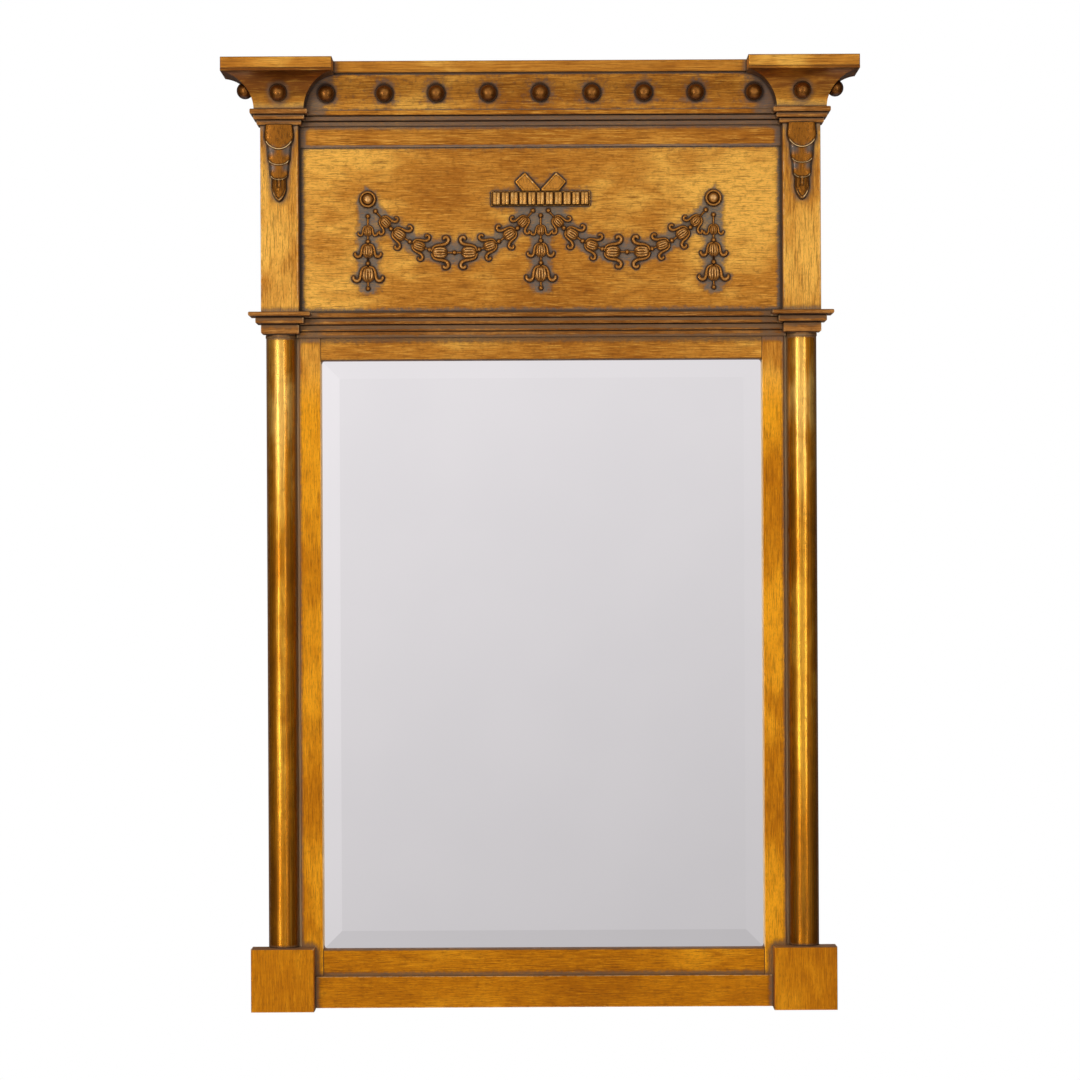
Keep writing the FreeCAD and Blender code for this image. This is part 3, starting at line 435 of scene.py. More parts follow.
giltFinishes = {
    # The grey band and the seam line along the rail's top are painted shadow under the entablature, with some
    # glaze.
    "giltRailTop": dict(
        bands=[("Z", -168.9, -166.4, 0.4, 0.35), ("Z", -147.5, -140, 4, 0.3)],
        seams=[("Z", -145, -139, 0.4, 0.8)], Seam=0, Reach=0.009, Ragged=0.5, RubAndGlint=0, Lift=-0.04,
        Grey=(0.08, 0.045, 0.02)),
    "giltRailLow": dict(
        bands=[("Z", -833.6, -831, 0.4, 0.35), ("Z", -864, -858.5, 3.5, 0.25)],
        Seam=0.15, Ragged=0.5, RubAndGlint=0, Lift=-0.01, Grey=(0.09, 0.056, 0.03), **orangeGold),
    # At the stile's top the grey band, the seam line and the darker lift are painted shadow under the
    # entablature, with some glaze.
    "giltStile": dict(
        upright=True, bands=[("Z", -147.5, -140, 4, 0.3), ("beside", 270.5, 275, 1.5, 0.12)],
        worn=[("beside", 247, 249.6, 0.25, 0.85), ("Z", -831, -168.6, 0.2, 1)],
        lifts=[("Z", -185, -130, 45, -0.09)], blend=(("Z", -185, -130, 45, 1), friezeGold),
        seams=[("Z", -145, -139, 0.4, 0.8)], Lift=0.07, Seam=0, Reach=0.009, Streaks=0.55,
        RubAndGlint=0, Grey=(0.095, 0.058, 0.038), **orangeGold),
    "giltPlinth": dict(Lift=-0.01, Streaks=0.45, Ragged=0.45, **orangeGold),
    "giltBlock": dict(upright=True, Lift=-0.02, Along=40, Across=1000, Streaks=0.42, **orangeGold),
    "giltPilaster": dict(
        upright=True, bands=[("Z", 90, 98, 6, 0.2)], lifts=[("X", 290, 330, 14, 0.08)],
        rubs=[("Z", -101, 60, 9, 0.9)], Lift=0.04, Along=50, Corner=0.0045),
    # The grey beside the pilasters and under the band is glaze and painted shade; the lifts paint the panel's
    # sides lighter, as painted sheen.
    "giltPanel": dict(
        bands=[("beside", 267, 274, 2, 0.06), ("Z", 71.6, 74, 0.8, 0.3)], more=washAlongSwags,
        lifts=[("beside", 165, 300, 60, 0.11), ("Z", -130, -65, 30, -0.02), ("X", -320, -165, 60, 0.04)],
        Lift=-0.008, Reach=0.009, Glaze=0.97, Line=0.006, Ragged=0.6, Grey=(0.084, 0.076, 0.066)),
    # The grey just beneath the neck moulding is painted shade; the grey at the band's foot is glaze and
    # painted shade.
    "giltBand": dict(
        bands=[("beside", 264, 274, 4, 0.3), ("Z", 70, 75.4, 1, 0.28), ("Z", 92, 98, 2.2, 0.13)],
        Line=0.004, Lift=-0.09, RubAndGlint=0.1, Grey=(0.098, 0.078, 0.062)),
    "giltNeckMiddle": dict(
        bands=[("Z", 94, 107.9, 0.5, 0.5), ("beside", 240, 262, 8, 0.3)],
        Lift=-0.05, Reach=0.005, Ledge=0.5, Glaze=0.92, RubAndGlint=0.25, Grey=(0.098, 0.064, 0.042)),
    "giltNeckCorner": dict(
        bands=[("Z", 105.6, 107.9, 0.8, 0.25), ("Z", 99.6, 102, 0.8, 0.25)],
        lifts=[("X", 200, 400, 20, 0.05)],
        Lift=-0.1, Reach=0.005, Ledge=0.4, Ragged=0.5, RubAndGlint=0.25, Grey=(0.105, 0.058, 0.028), **mouldingGold),
    "giltCapital": dict(
        bands=[("Z", -124.5, -120, 1.2, 0.24), ("Z", -133, -128.8, 1.2, 0.18), ("Z", -144, -140.5, 1, 0.3)],
        lifts=[("X", 200, 400, 20, 0.15)], Lift=-0.12, Reach=0.005, Ledge=0.3, Ragged=0.55, Glaze=0.8,
        RubAndGlint=0.25, Grey=(0.1, 0.056, 0.026), **mouldingGold),
    "giltEntablature": dict(
        bands=[("Z", -124, -119.6, 1, 0.28), ("Z", -133, -128.6, 1, 0.28), ("Z", -144, -139, 1.4, 0.3),
               ("beside", 248, 264, 6, 0.25)],
        Lift=-0.12, Reach=0.005, Ledge=0.35, Ragged=0.55, RubAndGlint=0.25, Grey=(0.105, 0.062, 0.032),
        **mouldingGold),
    # Lifts paint a pale highlight band down the front of each column, lighten its flanks and darken its foot,
    # and the blend paints that highlight paler at the top: painted highlight and shade. The grey under the
    # capital is glaze and painted shade.
    "giltColumn": dict(
        upright=True, bands=[("Z", -144.5, -141, 1.2, 0.3), ("beside", 307.8, 313, 1.3, 0.26),
                             ("beside", 273, 278.6, 1.3, 0.26)],
        lifts=[("X", -300, -289, 1.5, 0.2), ("X", 286, 297.5, 1.5, 0.2), ("Z", -900, -715, 70, -0.14),
               ("beside", 277, 286, 1.5, 0.06), ("beside", 301, 310, 1.5, 0.06)],
        blend=(("Z", -300, -130, 90, 1), {"Bright": (0.92, 0.51, 0.11), "Gold": (0.5, 0.178, 0.008)}),
        Lift=-0.1, Along=6, Across=820, RubAndGlint=0, Streaks=0.36, Matt=0.16, Reach=0.004, Ragged=0.5,
        Deep=(0.27, 0.088, 0.003), Gold=(0.46, 0.155, 0.004), Bright=(0.8, 0.385, 0.035),
        Scratch=(0.12, 0.034, 0.004), Grey=(0.125, 0.07, 0.036)),
    "giltCap": dict(Lift=-0.03, Along=18, Streaks=0.45, RubAndGlint=0.1),
    "giltCornerCap": dict(Lift=0.01, Along=18, Streaks=0.45, RubAndGlint=0.1),
    # The grey band just under the cap is glaze and painted shade; the lifts paint the foot of the cove
    # lighter, as painted light.
    "giltCove": dict(
        bands=[("beside", 246, 262, 9, 0.5), ("Z", 151, 156, 1.5, 0.08), ("Z", 108, 120, 3, -0.24)],
        lifts=[("Z", 141, 151, 3.5, 0.03), ("Z", 110, 123, 4, 0.06)],
        seams=[("Z", 108, 118, 1, -0.7)], Seam=0.9, Lift=-0.05, Reach=0.013, Line=0.0045, Ragged=0.8,
        Grey=(0.085, 0.069, 0.06)),
    # Lifts paint the upper part of the cove, which faces down, darker and its foot lighter: painted shade and
    # light.
    "giltCornerCove": dict(
        lifts=[("Z", 127, 160, 12, -0.24), ("Z", 112, 120, 5, 0.16), ("X", 200, 400, 20, 0.08)],
        Glaze=0.7, RubAndGlint=0, Streaks=0.35, Across=600, Deep=(0.2, 0.062, 0.008)),
    "giltInnerCove": dict(
        bands=[("Z", 100, 160, 1, 0.14)], Lift=-0.3, RubAndGlint=0, Ragged=0.9, Deep=(0.14, 0.045, 0.008),
        Grey=(0.085, 0.066, 0.056)),
}
for name, values in giltFinishes.items():
    giltMaterial(name, **values)


# Grey glaze on the shoulders of the second and third scale of a husk drop
shoulders = {
    "axisX": 293.6 * mm,
    "sides": (1.0 * mm, 7.5 * mm),
    "bands": [("Z", 62.5, 72, 4, 0.8), ("Z", 44.5, 51.5, 3, 0.8)],
    "colour": (0.082, 0.084, 0.08),
}


def glazeOnShoulders():
    fromAxis = minus(size(axes("TexCoord", "Object")["X"]), shoulders["axisX"])
    sides = ease(size(fromAxis), *shoulders["sides"])
    return times(sides, positionBands(shoulders["bands"]))


cast = {
    "outwardShare": 0.62,  # facing out and standing high, in how bright a point is painted: painted highlight on the front, with wear
    "raisedShare": 0.38,
    "toBody": (0.25, 0.5),  # how lit and worn a point is where dark glaze and painted shade turn to brown gold, and that to gold
    "toHigh": (0.5, 0.82),
    "streaks": (0.46, 0.66, 0.0, 0.6),
    "mottleScale": 240.0,
    "glazeReach": 3.0 * mm,
    "seamShadowReach": 2.0 * mm,
    "seamShadow": 0.9,
    "roughness": (0.3, 0.7, 0.24, 0.42),
    "metallic": (0.3, 0.65, 0.1, 0.85),
    "relief": 0.15 * mm,
    "shine": 0.3,
}


# Cast ornament: dark glaze and painted shade on flanks and in grooves, brown gold over it, and painted
# highlight with some wear where it faces the front and stands high
def ornamentMaterial(name, body, high, crest, mottling, rubbed, flank, shade=(0.03, 0.012, 0.004),
                     settled=None):
    newMaterial(name)
    vector = brushVector(True)
    raised = addNode("Attribute", attribute_name="raised").outputs["Fac"]
    # facing the front: painted highlight where it does, painted shade on flanks that turn away
    outward = ease(times(axes("NewGeometry", "Normal")["Y"], -1.0), *flank)
    mottle = clouds(vector, cast["mottleScale"], 4.0, 0.6)
    marks = place(brushMarks, Vector=vector, Along=150.0, Across=600.0)
    worn = plus(times(outward, cast["outwardShare"]), times(raised, cast["raisedShare"]),
                times(minus(mottle, 0.5), mottling), times(minus(marks["Streak"], 0.5), mottling / 2))
    glaze = place(glazeAndShade, Vector=vector, Reach=cast["glazeReach"], Ledge=0.0, Line=cast["seamShadowReach"])
    colour = layer(ease(worn, *cast["toBody"]), shade, body)
    colour = layer(ease(worn, *cast["toHigh"]), colour, high)
    colour = layer(ease(marks["Streak"], *cast["streaks"]), colour, body)
    if settled:
        colour = layer(settled(), colour, shoulders["colour"])
    colour = layer(ease(worn, *rubbed), colour, crest)
    # painted contact shadow and dark joint along the seam
    colour = layer(times(glaze["Seam"], cast["seamShadow"]), colour, shade)
    coat(colour, ease(mottle, *cast["roughness"]), ease(worn, *cast["metallic"]), mottle,
         cast["relief"], cast["shine"])


# shade, body, high and crest run from painted shade on the flanks to a painted highlight on front-facing
# crests, with glaze and wear mixed in
ornamentFinishes = {
    "giltFlower": dict(body=(0.19, 0.066, 0.01), high=(0.4, 0.156, 0.028), crest=(0.66, 0.35, 0.12),
                       mottling=0.35, flank=(0.6, 0.985), rubbed=(0.89, 1.06)),
    "giltRibbon": dict(body=(0.27, 0.105, 0.018), high=(0.54, 0.25, 0.055), crest=(0.88, 0.56, 0.22),
                       mottling=0.3, flank=(0.3, 0.85), rubbed=(0.96, 1.12)),
    "giltBow": dict(body=(0.24, 0.09, 0.012), high=(0.56, 0.225, 0.032), crest=(0.9, 0.56, 0.21), mottling=0.2,
                    flank=(0.72, 0.99), rubbed=(0.95, 0.995)),
    "giltRose": dict(body=(0.31, 0.12, 0.02), high=(0.48, 0.205, 0.045), crest=(0.8, 0.48, 0.2), mottling=0.3,
                     flank=(0.45, 0.95), rubbed=(0.92, 1.1)),
    "giltHusk": dict(body=(0.09, 0.029, 0.004), high=(0.3, 0.104, 0.01), crest=(0.84, 0.54, 0.24),
                     mottling=0.1, flank=(0.45, 0.97), rubbed=(0.93, 0.962), settled=glazeOnShoulders),
    "giltBall": dict(shade=(0.036, 0.012, 0.004), body=(0.105, 0.03, 0.004), high=(0.2, 0.068, 0.01),
                     crest=(0.38, 0.15, 0.03), mottling=0.35, flank=(0.4, 1.0), rubbed=(0.88, 1.12)),
}
for name, values in ornamentFinishes.items():
    ornamentMaterial(name, **values)


def woodMaterial(name, light, dark, upright=False, fineness=1.0):
    newMaterial(name)
    wood = place(woodGrain, Vector=brushVector(upright), Light=light, Dark=dark, Fineness=fineness)
    coat(wood["Color"], 0.62, 0.0, wood["Height"], 0.2 * mm)


woodMaterial("carcassUpright", (0.52, 0.325, 0.165), (0.33, 0.175, 0.08), upright=True)
woodMaterial("carcassAcross", (0.52, 0.325, 0.165), (0.33, 0.175, 0.08))
woodMaterial("dowelWood", (0.56, 0.4, 0.24), (0.4, 0.25, 0.13), fineness=1.6)
woodMaterial("stripWood", (0.42, 0.26, 0.13), (0.27, 0.15, 0.07), fineness=1.3)


def backingMaterial():
    newMaterial("backingBoard")
    vector = brushVector(False)
    fibres = clouds(stretch(vector, (420.0, 1300.0, 420.0)), 1.0, 5.0, 0.7, 0.8)
    colour = layer(ease(fibres, 0.3, 0.7), (0.165, 0.098, 0.052), (0.285, 0.185, 0.105))
    blotches = times(ease(clouds(vector, 14.0), 0.4, 0.7), 0.35)
    coat(layer(blotches, colour, (0.21, 0.13, 0.075)), 0.78, 0.0, fibres, 0.3 * mm)


def metalMaterial(name, light, dark, low, high):
    newMaterial(name)
    vector = brushVector(False)
    scuffs = clouds(vector, 260.0, 5.0, 0.65, 0.4)
    amount = plus(times(scuffs, 0.6), times(clouds(vector, 60.0), 0.4))
    coat(layer(ease(amount, 0.36, 0.62), light, dark), ease(scuffs, 0.3, 0.7, low, high), 0.95,
         scuffs, 0.08 * mm)


def rubberMaterial():
    newMaterial("bumperRubber")
    vector = brushVector(False)
    speckle = clouds(vector, 900.0, 3.0, 0.6)
    bloom = ease(clouds(vector, 120.0), 0.4, 0.75)
    coat(layer(bloom, (0.028, 0.026, 0.025), (0.07, 0.066, 0.062)), ease(speckle, 0.3, 0.7, 0.55, 0.8),
         0.0, speckle, 0.1 * mm)


# Silvered glass: a faint grey tint, with a little haze and dust in its polish
def glassMaterial():
    newMaterial("silveredGlass")
    vector = brushVector(False)
    haze = ease(clouds(vector, 7.0), 0.3, 0.7)
    dust = clouds(vector, 700.0, 2.0, 0.6)
    shader = tree.nodes["Principled BSDF"]
    feed(shader.inputs["Base Color"], layer(haze, (0.955, 0.92, 0.948), (0.975, 0.938, 0.965)))
    feed(shader.inputs["Roughness"], ease(dust, 0.35, 0.75, 0.012, 0.03))
    feed(shader.inputs["Metallic"], 1.0)


backingMaterial()
metalMaterial("bareSteel", (0.55, 0.54, 0.52), (0.33, 0.32, 0.31), 0.28, 0.5)
metalMaterial("platedHanger", (0.62, 0.52, 0.33), (0.4, 0.31, 0.17), 0.25, 0.45)
rubberMaterial()
glassMaterial()

# A star stands for left and right
finishes = {
    "silveredGlass": ["mirror_glass"],
    "backingBoard": ["backing_board"],
    "stripWood": ["retaining_strips"],
    "bareSteel": ["strip_pins", "face_screws", "hanger_screws"],
    "dowelWood": ["corner_dowels"],
    "carcassUpright": ["carcass_stile_*"],
    "carcassAcross": ["header_board", "carcass_foot_rail", "corner_core_*"],
    "giltStile": ["sight_stile_*"],
    "giltRailTop": ["sight_rail_top"],
    "giltRailLow": ["sight_rail_bottom"],
    "giltPlinth": ["plinth_rail"],
    "giltBlock": ["base_block_*"],
    "giltColumn": ["column_*"],
    "giltCapital": ["capital_*"],
    "giltEntablature": ["entablature_moulding"],
    "giltPilaster": ["pilaster_*"],
    "giltPanel": ["frieze_panel"],
    "giltBand": ["frieze_top_band"],
    "giltNeckMiddle": ["neck_moulding_middle"],
    "giltCove": ["cove_middle"],
    "giltCap": ["cap_board_middle"],
    "giltNeckCorner": ["neck_moulding_*"],
    "giltCornerCove": ["cove_front_*", "cove_outer_*"],
    "giltInnerCove": ["cove_inner_*"],
    "giltCornerCap": ["cap_board_*"],
    "platedHanger": ["hanger_strap_*", "d_ring_*"],
    "bumperRubber": ["wall_bumpers"],
}
for finish, patterns in finishes.items():
    for name in {pattern.replace("*", side) for pattern in patterns for side in ("left", "right")}:
        mesh = nodes[name].data
        mesh.materials.clear()
        mesh.materials.append(bpy.data.materials[finish])
print("construction nodes finished with", len(finishes), "materials")

# Mesh helpers
weldDistance = 4e-6


def finishPiece(name, bm, replaced, finish, foot, relief, sharp=38.0):
    ops.remove_doubles(bm, verts=bm.verts, dist=weldDistance)
    ops.recalc_face_normals(bm, faces=bm.faces)
    mesh = asMesh(bm, name)
    mesh.materials.append(bpy.data.materials[finish])
    mesh.polygons.foreach_set("use_smooth", [True] * len(mesh.polygons))
    mesh.set_sharp_from_angle(angle=math.radians(sharp))
    # height over the board it is glued to, for the glaze and the painted shade at the foot of a piece
    raised = mesh.attributes.new("raised", "FLOAT", "POINT")
    heights = [min(max((foot - vert.co.y) / relief, 0.0), 1.0) for vert in mesh.vertices]
    raised.data.foreach_set("value", heights)
    piece = bpy.data.objects.new(name, mesh)
    scene.collection.objects.link(piece)
    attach(piece, "frame")
    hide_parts(*replaced)
    print("made", name, len(mesh.polygons), "faces")


def asMesh(bm, name):
    mesh = bpy.data.meshes.new(name)
    bm.to_mesh(mesh)
    bm.free()
    return mesh


def pick(found, kind):  # the vertices or the edges of what an operator gives back
    return [item for item in found if isinstance(item, kind)]


def spinLine(bm, line, axis, steps, weld):  # spins a line of points round an axis
    points = [bm.verts.new(point) for point in line]
    edges = [bm.edges.new(pair) for pair in zip(points, points[1:])]
    ops.spin(bm, geom=points + edges, cent=(0, 0, 0), axis=axis, dvec=(0, 0, 0), angle=math.tau, steps=steps,
             use_merge=True, use_duplicate=False)
    ops.remove_doubles(bm, verts=bm.verts, dist=weld)


def turnedMesh(name, profile, steps):  # spins (radius, depth) points round the y axis
    bm = bmesh.new()
    spinLine(bm, [(radius, -depth, 0.0) for radius, depth in profile], (0, 1, 0), steps, weldDistance / 2)
    return asMesh(bm, name)


def cutAtBack(bm, level):  # takes off what lies behind the plane y = level and closes the cut
    whole = bm.verts[:] + bm.edges[:] + bm.faces[:]
    cut = ops.bisect_plane(bm, geom=whole, dist=weldDistance / 8, plane_co=(0, level, 0), plane_no=(0, 1, 0),
                           clear_outer=True)
    ops.holes_fill(bm, edges=pick(cut["geom_cut"], bmesh.types.BMEdge), sides=0)


def roundEdges(bm, edges, offset, segments=2):
    ops.bevel(bm, geom=edges, offset=offset, offset_type="OFFSET", segments=segments, profile=0.5,
              affect="EDGES", material=-1)


def stamp(bm, mesh, matrix):  # adds a copy of a small mesh at a place
    known = set(bm.verts)
    bm.from_mesh(mesh)
    fresh = [vert for vert in bm.verts if vert not in known]
    ops.transform(bm, matrix=matrix, verts=fresh)


# Balls
balls = {
    "radius": 9.525 * mm,
    "middleX": (-240.7, -175.2, -116.8, -58.4, 0, 58.4, 116.8, 175.2, 240.7),
    "middleSeat": (-35.3, 131.95),
    "middleDarkFoot": (-36.0 * mm, 6.0 * mm),  # where a ball's dark foot starts, and how far forward it reaches: glaze and painted shade round the ball's rim
    "cornerFront": (293.6, -51.85, 130.65),
    "cornerSide": (332.1, -32, 136.15),
    "cornerDarkFoot": (-30.0 * mm, 12.0 * mm),
    "poleFlat": 0.985,  # the turned pole is a touch flat
    "rings": 20,
    "steps": 40,
}


def ballMesh():
    radius = balls["radius"]
    profile = []
    for count in range(balls["rings"] + 1):
        angle = math.pi * count / balls["rings"]
        profile.append((math.sin(angle) * radius, min(math.cos(angle), balls["poleFlat"]) * radius))
    return turnedMesh("turnedBall", profile, balls["steps"])


def makeBalls():
    ball = ballMesh()
    middle = [(x, *balls["middleSeat"]) for x in balls["middleX"]]
    corner = [(x * side, y, z) for side in (-1, 1) for x, y, z in (balls["cornerFront"], balls["cornerSide"])]
    for name, spots, node, glaze in (("corniceBalls", middle, "cornice_balls", "middleDarkFoot"),
                                     ("cornerBalls", corner, "corner_balls", "cornerDarkFoot")):
        bm = bmesh.new()
        for spot in spots:
            stamp(bm, ball, Matrix.Translation(Vector(spot) * mm))
        finishPiece(name, bm, [node], "giltBall", *balls[glaze])


makeBalls()

# Bellflowers
# All lengths of a flower are shares of its span. It hangs down from its neck.
flower = {
    "span": 38.0 * mm,
    "bell": ((0, 0.245), (0.03, 0.243), (0.08, 0.228), (0.13, 0.2), (0.172, 0.145), (0.194, 0.07),
             (0.203, -0.01), (0.196, -0.08), (0.17, -0.14), (0.128, -0.19), (0.075, -0.228), (0.03, -0.248),
             (0, -0.255)),
    "bellRadius": 0.203,
    "bellSteps": 96,
    "relief": 0.13,
    "lobes": 12,
    "lobeDepth": 0.2,
    "lobeStart": 0.23,  # the grooves start here and deepen over this length
    "lobeRun": 0.15,
    # across, along, thickness; from the neck down the side of the bell and out to the hooked tip
    "drop": ((0.03, 0.235, 0.6), (0.115, 0.22, 0.8), (0.188, 0.15, 0.85), (0.219, 0.03, 0.9),
             (0.227, -0.07, 0.95), (0.252, -0.15, 1.05), (0.305, -0.195, 1.15), (0.385, -0.185, 1.15),
             (0.438, -0.125, 1.05), (0.43, -0.065, 1.1), (0.405, -0.06, 0.8)),
    "swag": ((0.03, 0.235, 0.6), (0.115, 0.22, 0.8), (0.188, 0.15, 0.85), (0.221, 0.02, 0.9),
             (0.23, -0.09, 0.95), (0.258, -0.185, 1.05), (0.32, -0.25, 1.15), (0.405, -0.26, 1.15),
             (0.462, -0.205, 1.1), (0.455, -0.135, 1.05), (0.41, -0.115, 1.1), (0.385, -0.13, 0.8)),
    "petalRadius": 0.055,
    "petalLift": 0.022,
    "bellWeld": 0.0005,
    "petalWeld": 0.0002,
}


def addBell(bm):
    line = [(radius, 0.0, level) for radius, level in flower["bell"]]
    spinLine(bm, line, (0, 0, 1), flower["bellSteps"], flower["bellWeld"])
    for vert in bm.verts:  # grooves between the lobes, one of them down the front
        around = math.atan2(vert.co.x, -vert.co.y)
        depth = min(max((flower["lobeStart"] - vert.co.z) / flower["lobeRun"], 0.0), 1.0)
        groove = (0.5 + 0.5 * math.cos(flower["lobes"] * around)) ** 2
        shrink = 1.0 - flower["lobeDepth"] * groove * depth
        vert.co.x *= shrink
        vert.co.y *= shrink * flower["relief"] / flower["bellRadius"]
    cutAtBack(bm, 0.0)


def petalMesh(form):
    curve = bpy.data.curves.new("petalLine", "CURVE")
    curve.dimensions = "3D"
    curve.bevel_depth = flower["petalRadius"]
    curve.bevel_resolution = 3
    curve.use_fill_caps = True
    curve.resolution_u = 5
    line = curve.splines.new("NURBS")
    line.points.add(len(flower[form]) - 1)
    for point, (x, z, thickness) in zip(line.points, flower[form]):
        point.co = (x, -flower["petalLift"], z, 1.0)
        point.radius = thickness
    line.order_u = 3
    line.use_endpoint_u = True
    holder = bpy.data.objects.new("petalLine", curve)
    mesh = bpy.data.meshes.new_from_object(holder)
    bpy.data.objects.remove(holder)
    return mesh


def flowerMesh(form):
    bm = bmesh.new()
    addBell(bm)
    petal = petalMesh(form)
    for side in (1, -1):
        leaf = bmesh.new()
        leaf.from_mesh(petal)
        ops.remove_doubles(leaf, verts=leaf.verts, dist=flower["petalWeld"])
        ops.scale(leaf, vec=(side, 1.0, 1.0), verts=leaf.verts)
        cutAtBack(leaf, 0.0)
        ops.recalc_face_normals(leaf, faces=leaf.faces)
        bm.from_mesh(asMesh(leaf, "petalHalf"))
    return asMesh(bm, "bellflower")


chain = {
    "beadRadius": 2.9 * mm,
    "beadRings": 8,
    "beadSteps": 20,
    "stemRadius": 1.25 * mm,
    "relief": 3.7 * mm,
    "dropLength": 100.7 * mm,
    # share of the half span, share of the sag, share of the flower's span (nought is a bead)
    "swag": ((0, 0, 0), (0.17, 0.003, 1), (0.287, 0.058, 0), (0.41, 0.127, 0.84), (0.516, 0.207, 0),
             (0.638, 0.34, 0.86), (0.732, 0.45, 0), (0.796, 0.567, 0.76), (0.911, 0.777, 0)),
    "drop": ((0.189, 0), (0.357, 0.66), (0.472, 0), (0.58, 0.88), (0.719, 0), (0.842, 1), (1, 0)),
}
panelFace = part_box("frieze_panel")[0][1]
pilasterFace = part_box("pilaster_left")[0][1]


def beadMesh():
    radius = chain["beadRadius"]
    angles = [math.pi / 2 * count / chain["beadRings"] for count in range(chain["beadRings"] + 1)]
    profile = [(math.sin(angle) * radius, math.cos(angle) * radius) for angle in angles]
    return turnedMesh("bead", profile + [(0.0, 0.0)], chain["beadSteps"])


def addStem(bm, start, end):
    run = end - start
    known = set(bm.verts)
    ops.create_cone(bm, cap_ends=True, segments=12, radius1=chain["stemRadius"],
                    radius2=chain["stemRadius"], depth=run.length)
    fresh = [vert for vert in bm.verts if vert not in known]
    turn = Vector((0, 0, 1)).rotation_difference(run.normalized()).to_matrix().to_4x4()
    ops.transform(bm, matrix=Matrix.Translation((start + end) / 2) @ turn, verts=fresh)


dropFlower = flowerMesh("drop")
swagFlower = flowerMesh("swag")
bead = beadMesh()


def makeChain(bm, links, bell):  # links: place on the panel, span, point that the bell opens towards
    for spot, span, mouth in links:
        if span > 0:
            lean = math.atan2(spot.x - mouth.x, spot.z - mouth.z)
            stamp(bm, bell, Matrix.Translation(spot) @ Matrix.Rotation(lean, 4, "Y") @ Matrix.Scale(span, 4))
        else:
            stamp(bm, bead, Matrix.Translation(spot))
    stems = bmesh.new()
    for (first, _, _), (second, _, _) in zip(links, links[1:]):
        addStem(stems, first, second)
    cutAtBack(stems, panelFace)
    bm.from_mesh(asMesh(stems, "stems"))


def swagLinks(centreX, side):
    places = []
    for along, up, share in chain["swag"]:
        x = centreX + side * frieze["roseX"] / 2 * along
        z = frieze["roseZ"] - frieze["sag"] * (1 - up)
        places.append((Vector((x, panelFace, z)), flower["span"] * share))
    return [(spot, span, places[max(count - 1, 0)][0]) for count, (spot, span) in enumerate(places)]


def dropLinks(x):
    links = []
    for down, share in chain["drop"]:
        spot = Vector((x, panelFace, frieze["roseZ"] - chain["dropLength"] * down))
        links.append((spot, flower["span"] * share, spot - Vector((0, 0, 1))))
    return links


def makeGarlands():
    for side, name in ((-1, "left"), (1, "right")):
        bm = bmesh.new()
        for way in (-1, 1):
            makeChain(bm, swagLinks(side * frieze["roseX"] / 2, way), swagFlower)
        finishPiece("garland." + name, bm, ["garland_" + name], "giltFlower", panelFace, chain["relief"])


def makeDrops():
    for side, name in ((-1, "left"), (0, "middle"), (1, "right")):
        bm = bmesh.new()
        makeChain(bm, dropLinks(side * frieze["roseX"]), dropFlower)
        finishPiece("bellflowerDrop." + name, bm, ["bellflower_drop_" + name], "giltFlower", panelFace,
                    chain["relief"])


makeGarlands()
makeDrops()

# Rosettes
rosette = {
    # radius and height in millimetres, from the middle of the dome outwards
    "profile": ((0, 5.3), (1.9, 5.1), (3.5, 4.35), (4.7, 3.1), (5.2, 2.1), (5.6, 1.7), (6, 1.9), (6.5, 2.8),
                (7, 3.25), (7.6, 3.25), (8.1, 2.7), (8.6, 1.6), (9.1, 0.5), (9.1, 0), (0, 0)),
    "radius": 9.1,
    "steps": 56,
    "relief": 4.6 * mm,
}


def makeRosettes():
    low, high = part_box("rosettes")
    scale = (high[2] - low[2]) / 2 / rosette["radius"]  # keeps to the construction's own radius
    profile = [(radius * scale, height * mm) for radius, height in rosette["profile"]]
    rose = turnedMesh("rosette", profile, rosette["steps"])
    bm = bmesh.new()
    for side in (-1, 1):
        stamp(bm, rose, Matrix.Translation((side * frieze["roseX"], panelFace, frieze["roseZ"])))
    finishPiece("rosettes.pair", bm, ["rosettes"], "giltRose", panelFace, rosette["relief"], 60.0)


makeRosettes()

# Ribbon bar and bow, in millimetres
ribbon = {
    "length": 112,
    "height": 16.6,
    "plate": 1.9,
    "border": 1.3,
    "sunk": 0.7,  # the field lies this much behind the border
    "plateRound": 0.35,
    "reeds": 11,
    "reedWidth": 9.5,
    "reedSection": ((-0.5, 0), (-0.48, 2.6), (-0.42, 3.8), (-0.3, 4.4), (-0.12, 4.2), (0, 3.6), (0.12, 4.2),
                    (0.3, 4.4), (0.42, 3.8), (0.48, 2.6), (0.5, 0)),
    "reedGap": 0.25,
    "reedRound": 0.5,
    "relief": 4.4 * mm,
}
bow = {
    "outerCorners": ((20.7, 0), (29.2, 10.7)),
    "innerCorners": ((17.6, 21.3), (0.6, 2.6)),
    "foot": (0.6, 0),
    "thickness": 3.4,
    "outerDrop": 0.7,  # the foot and the outer corners lie lower than the inner ones
    "round": 1.2,
    "rim": 1.1,
    "dishEdge": 0.5,
    "dish": 0.5,
    "relief": 3.6 * mm,
}


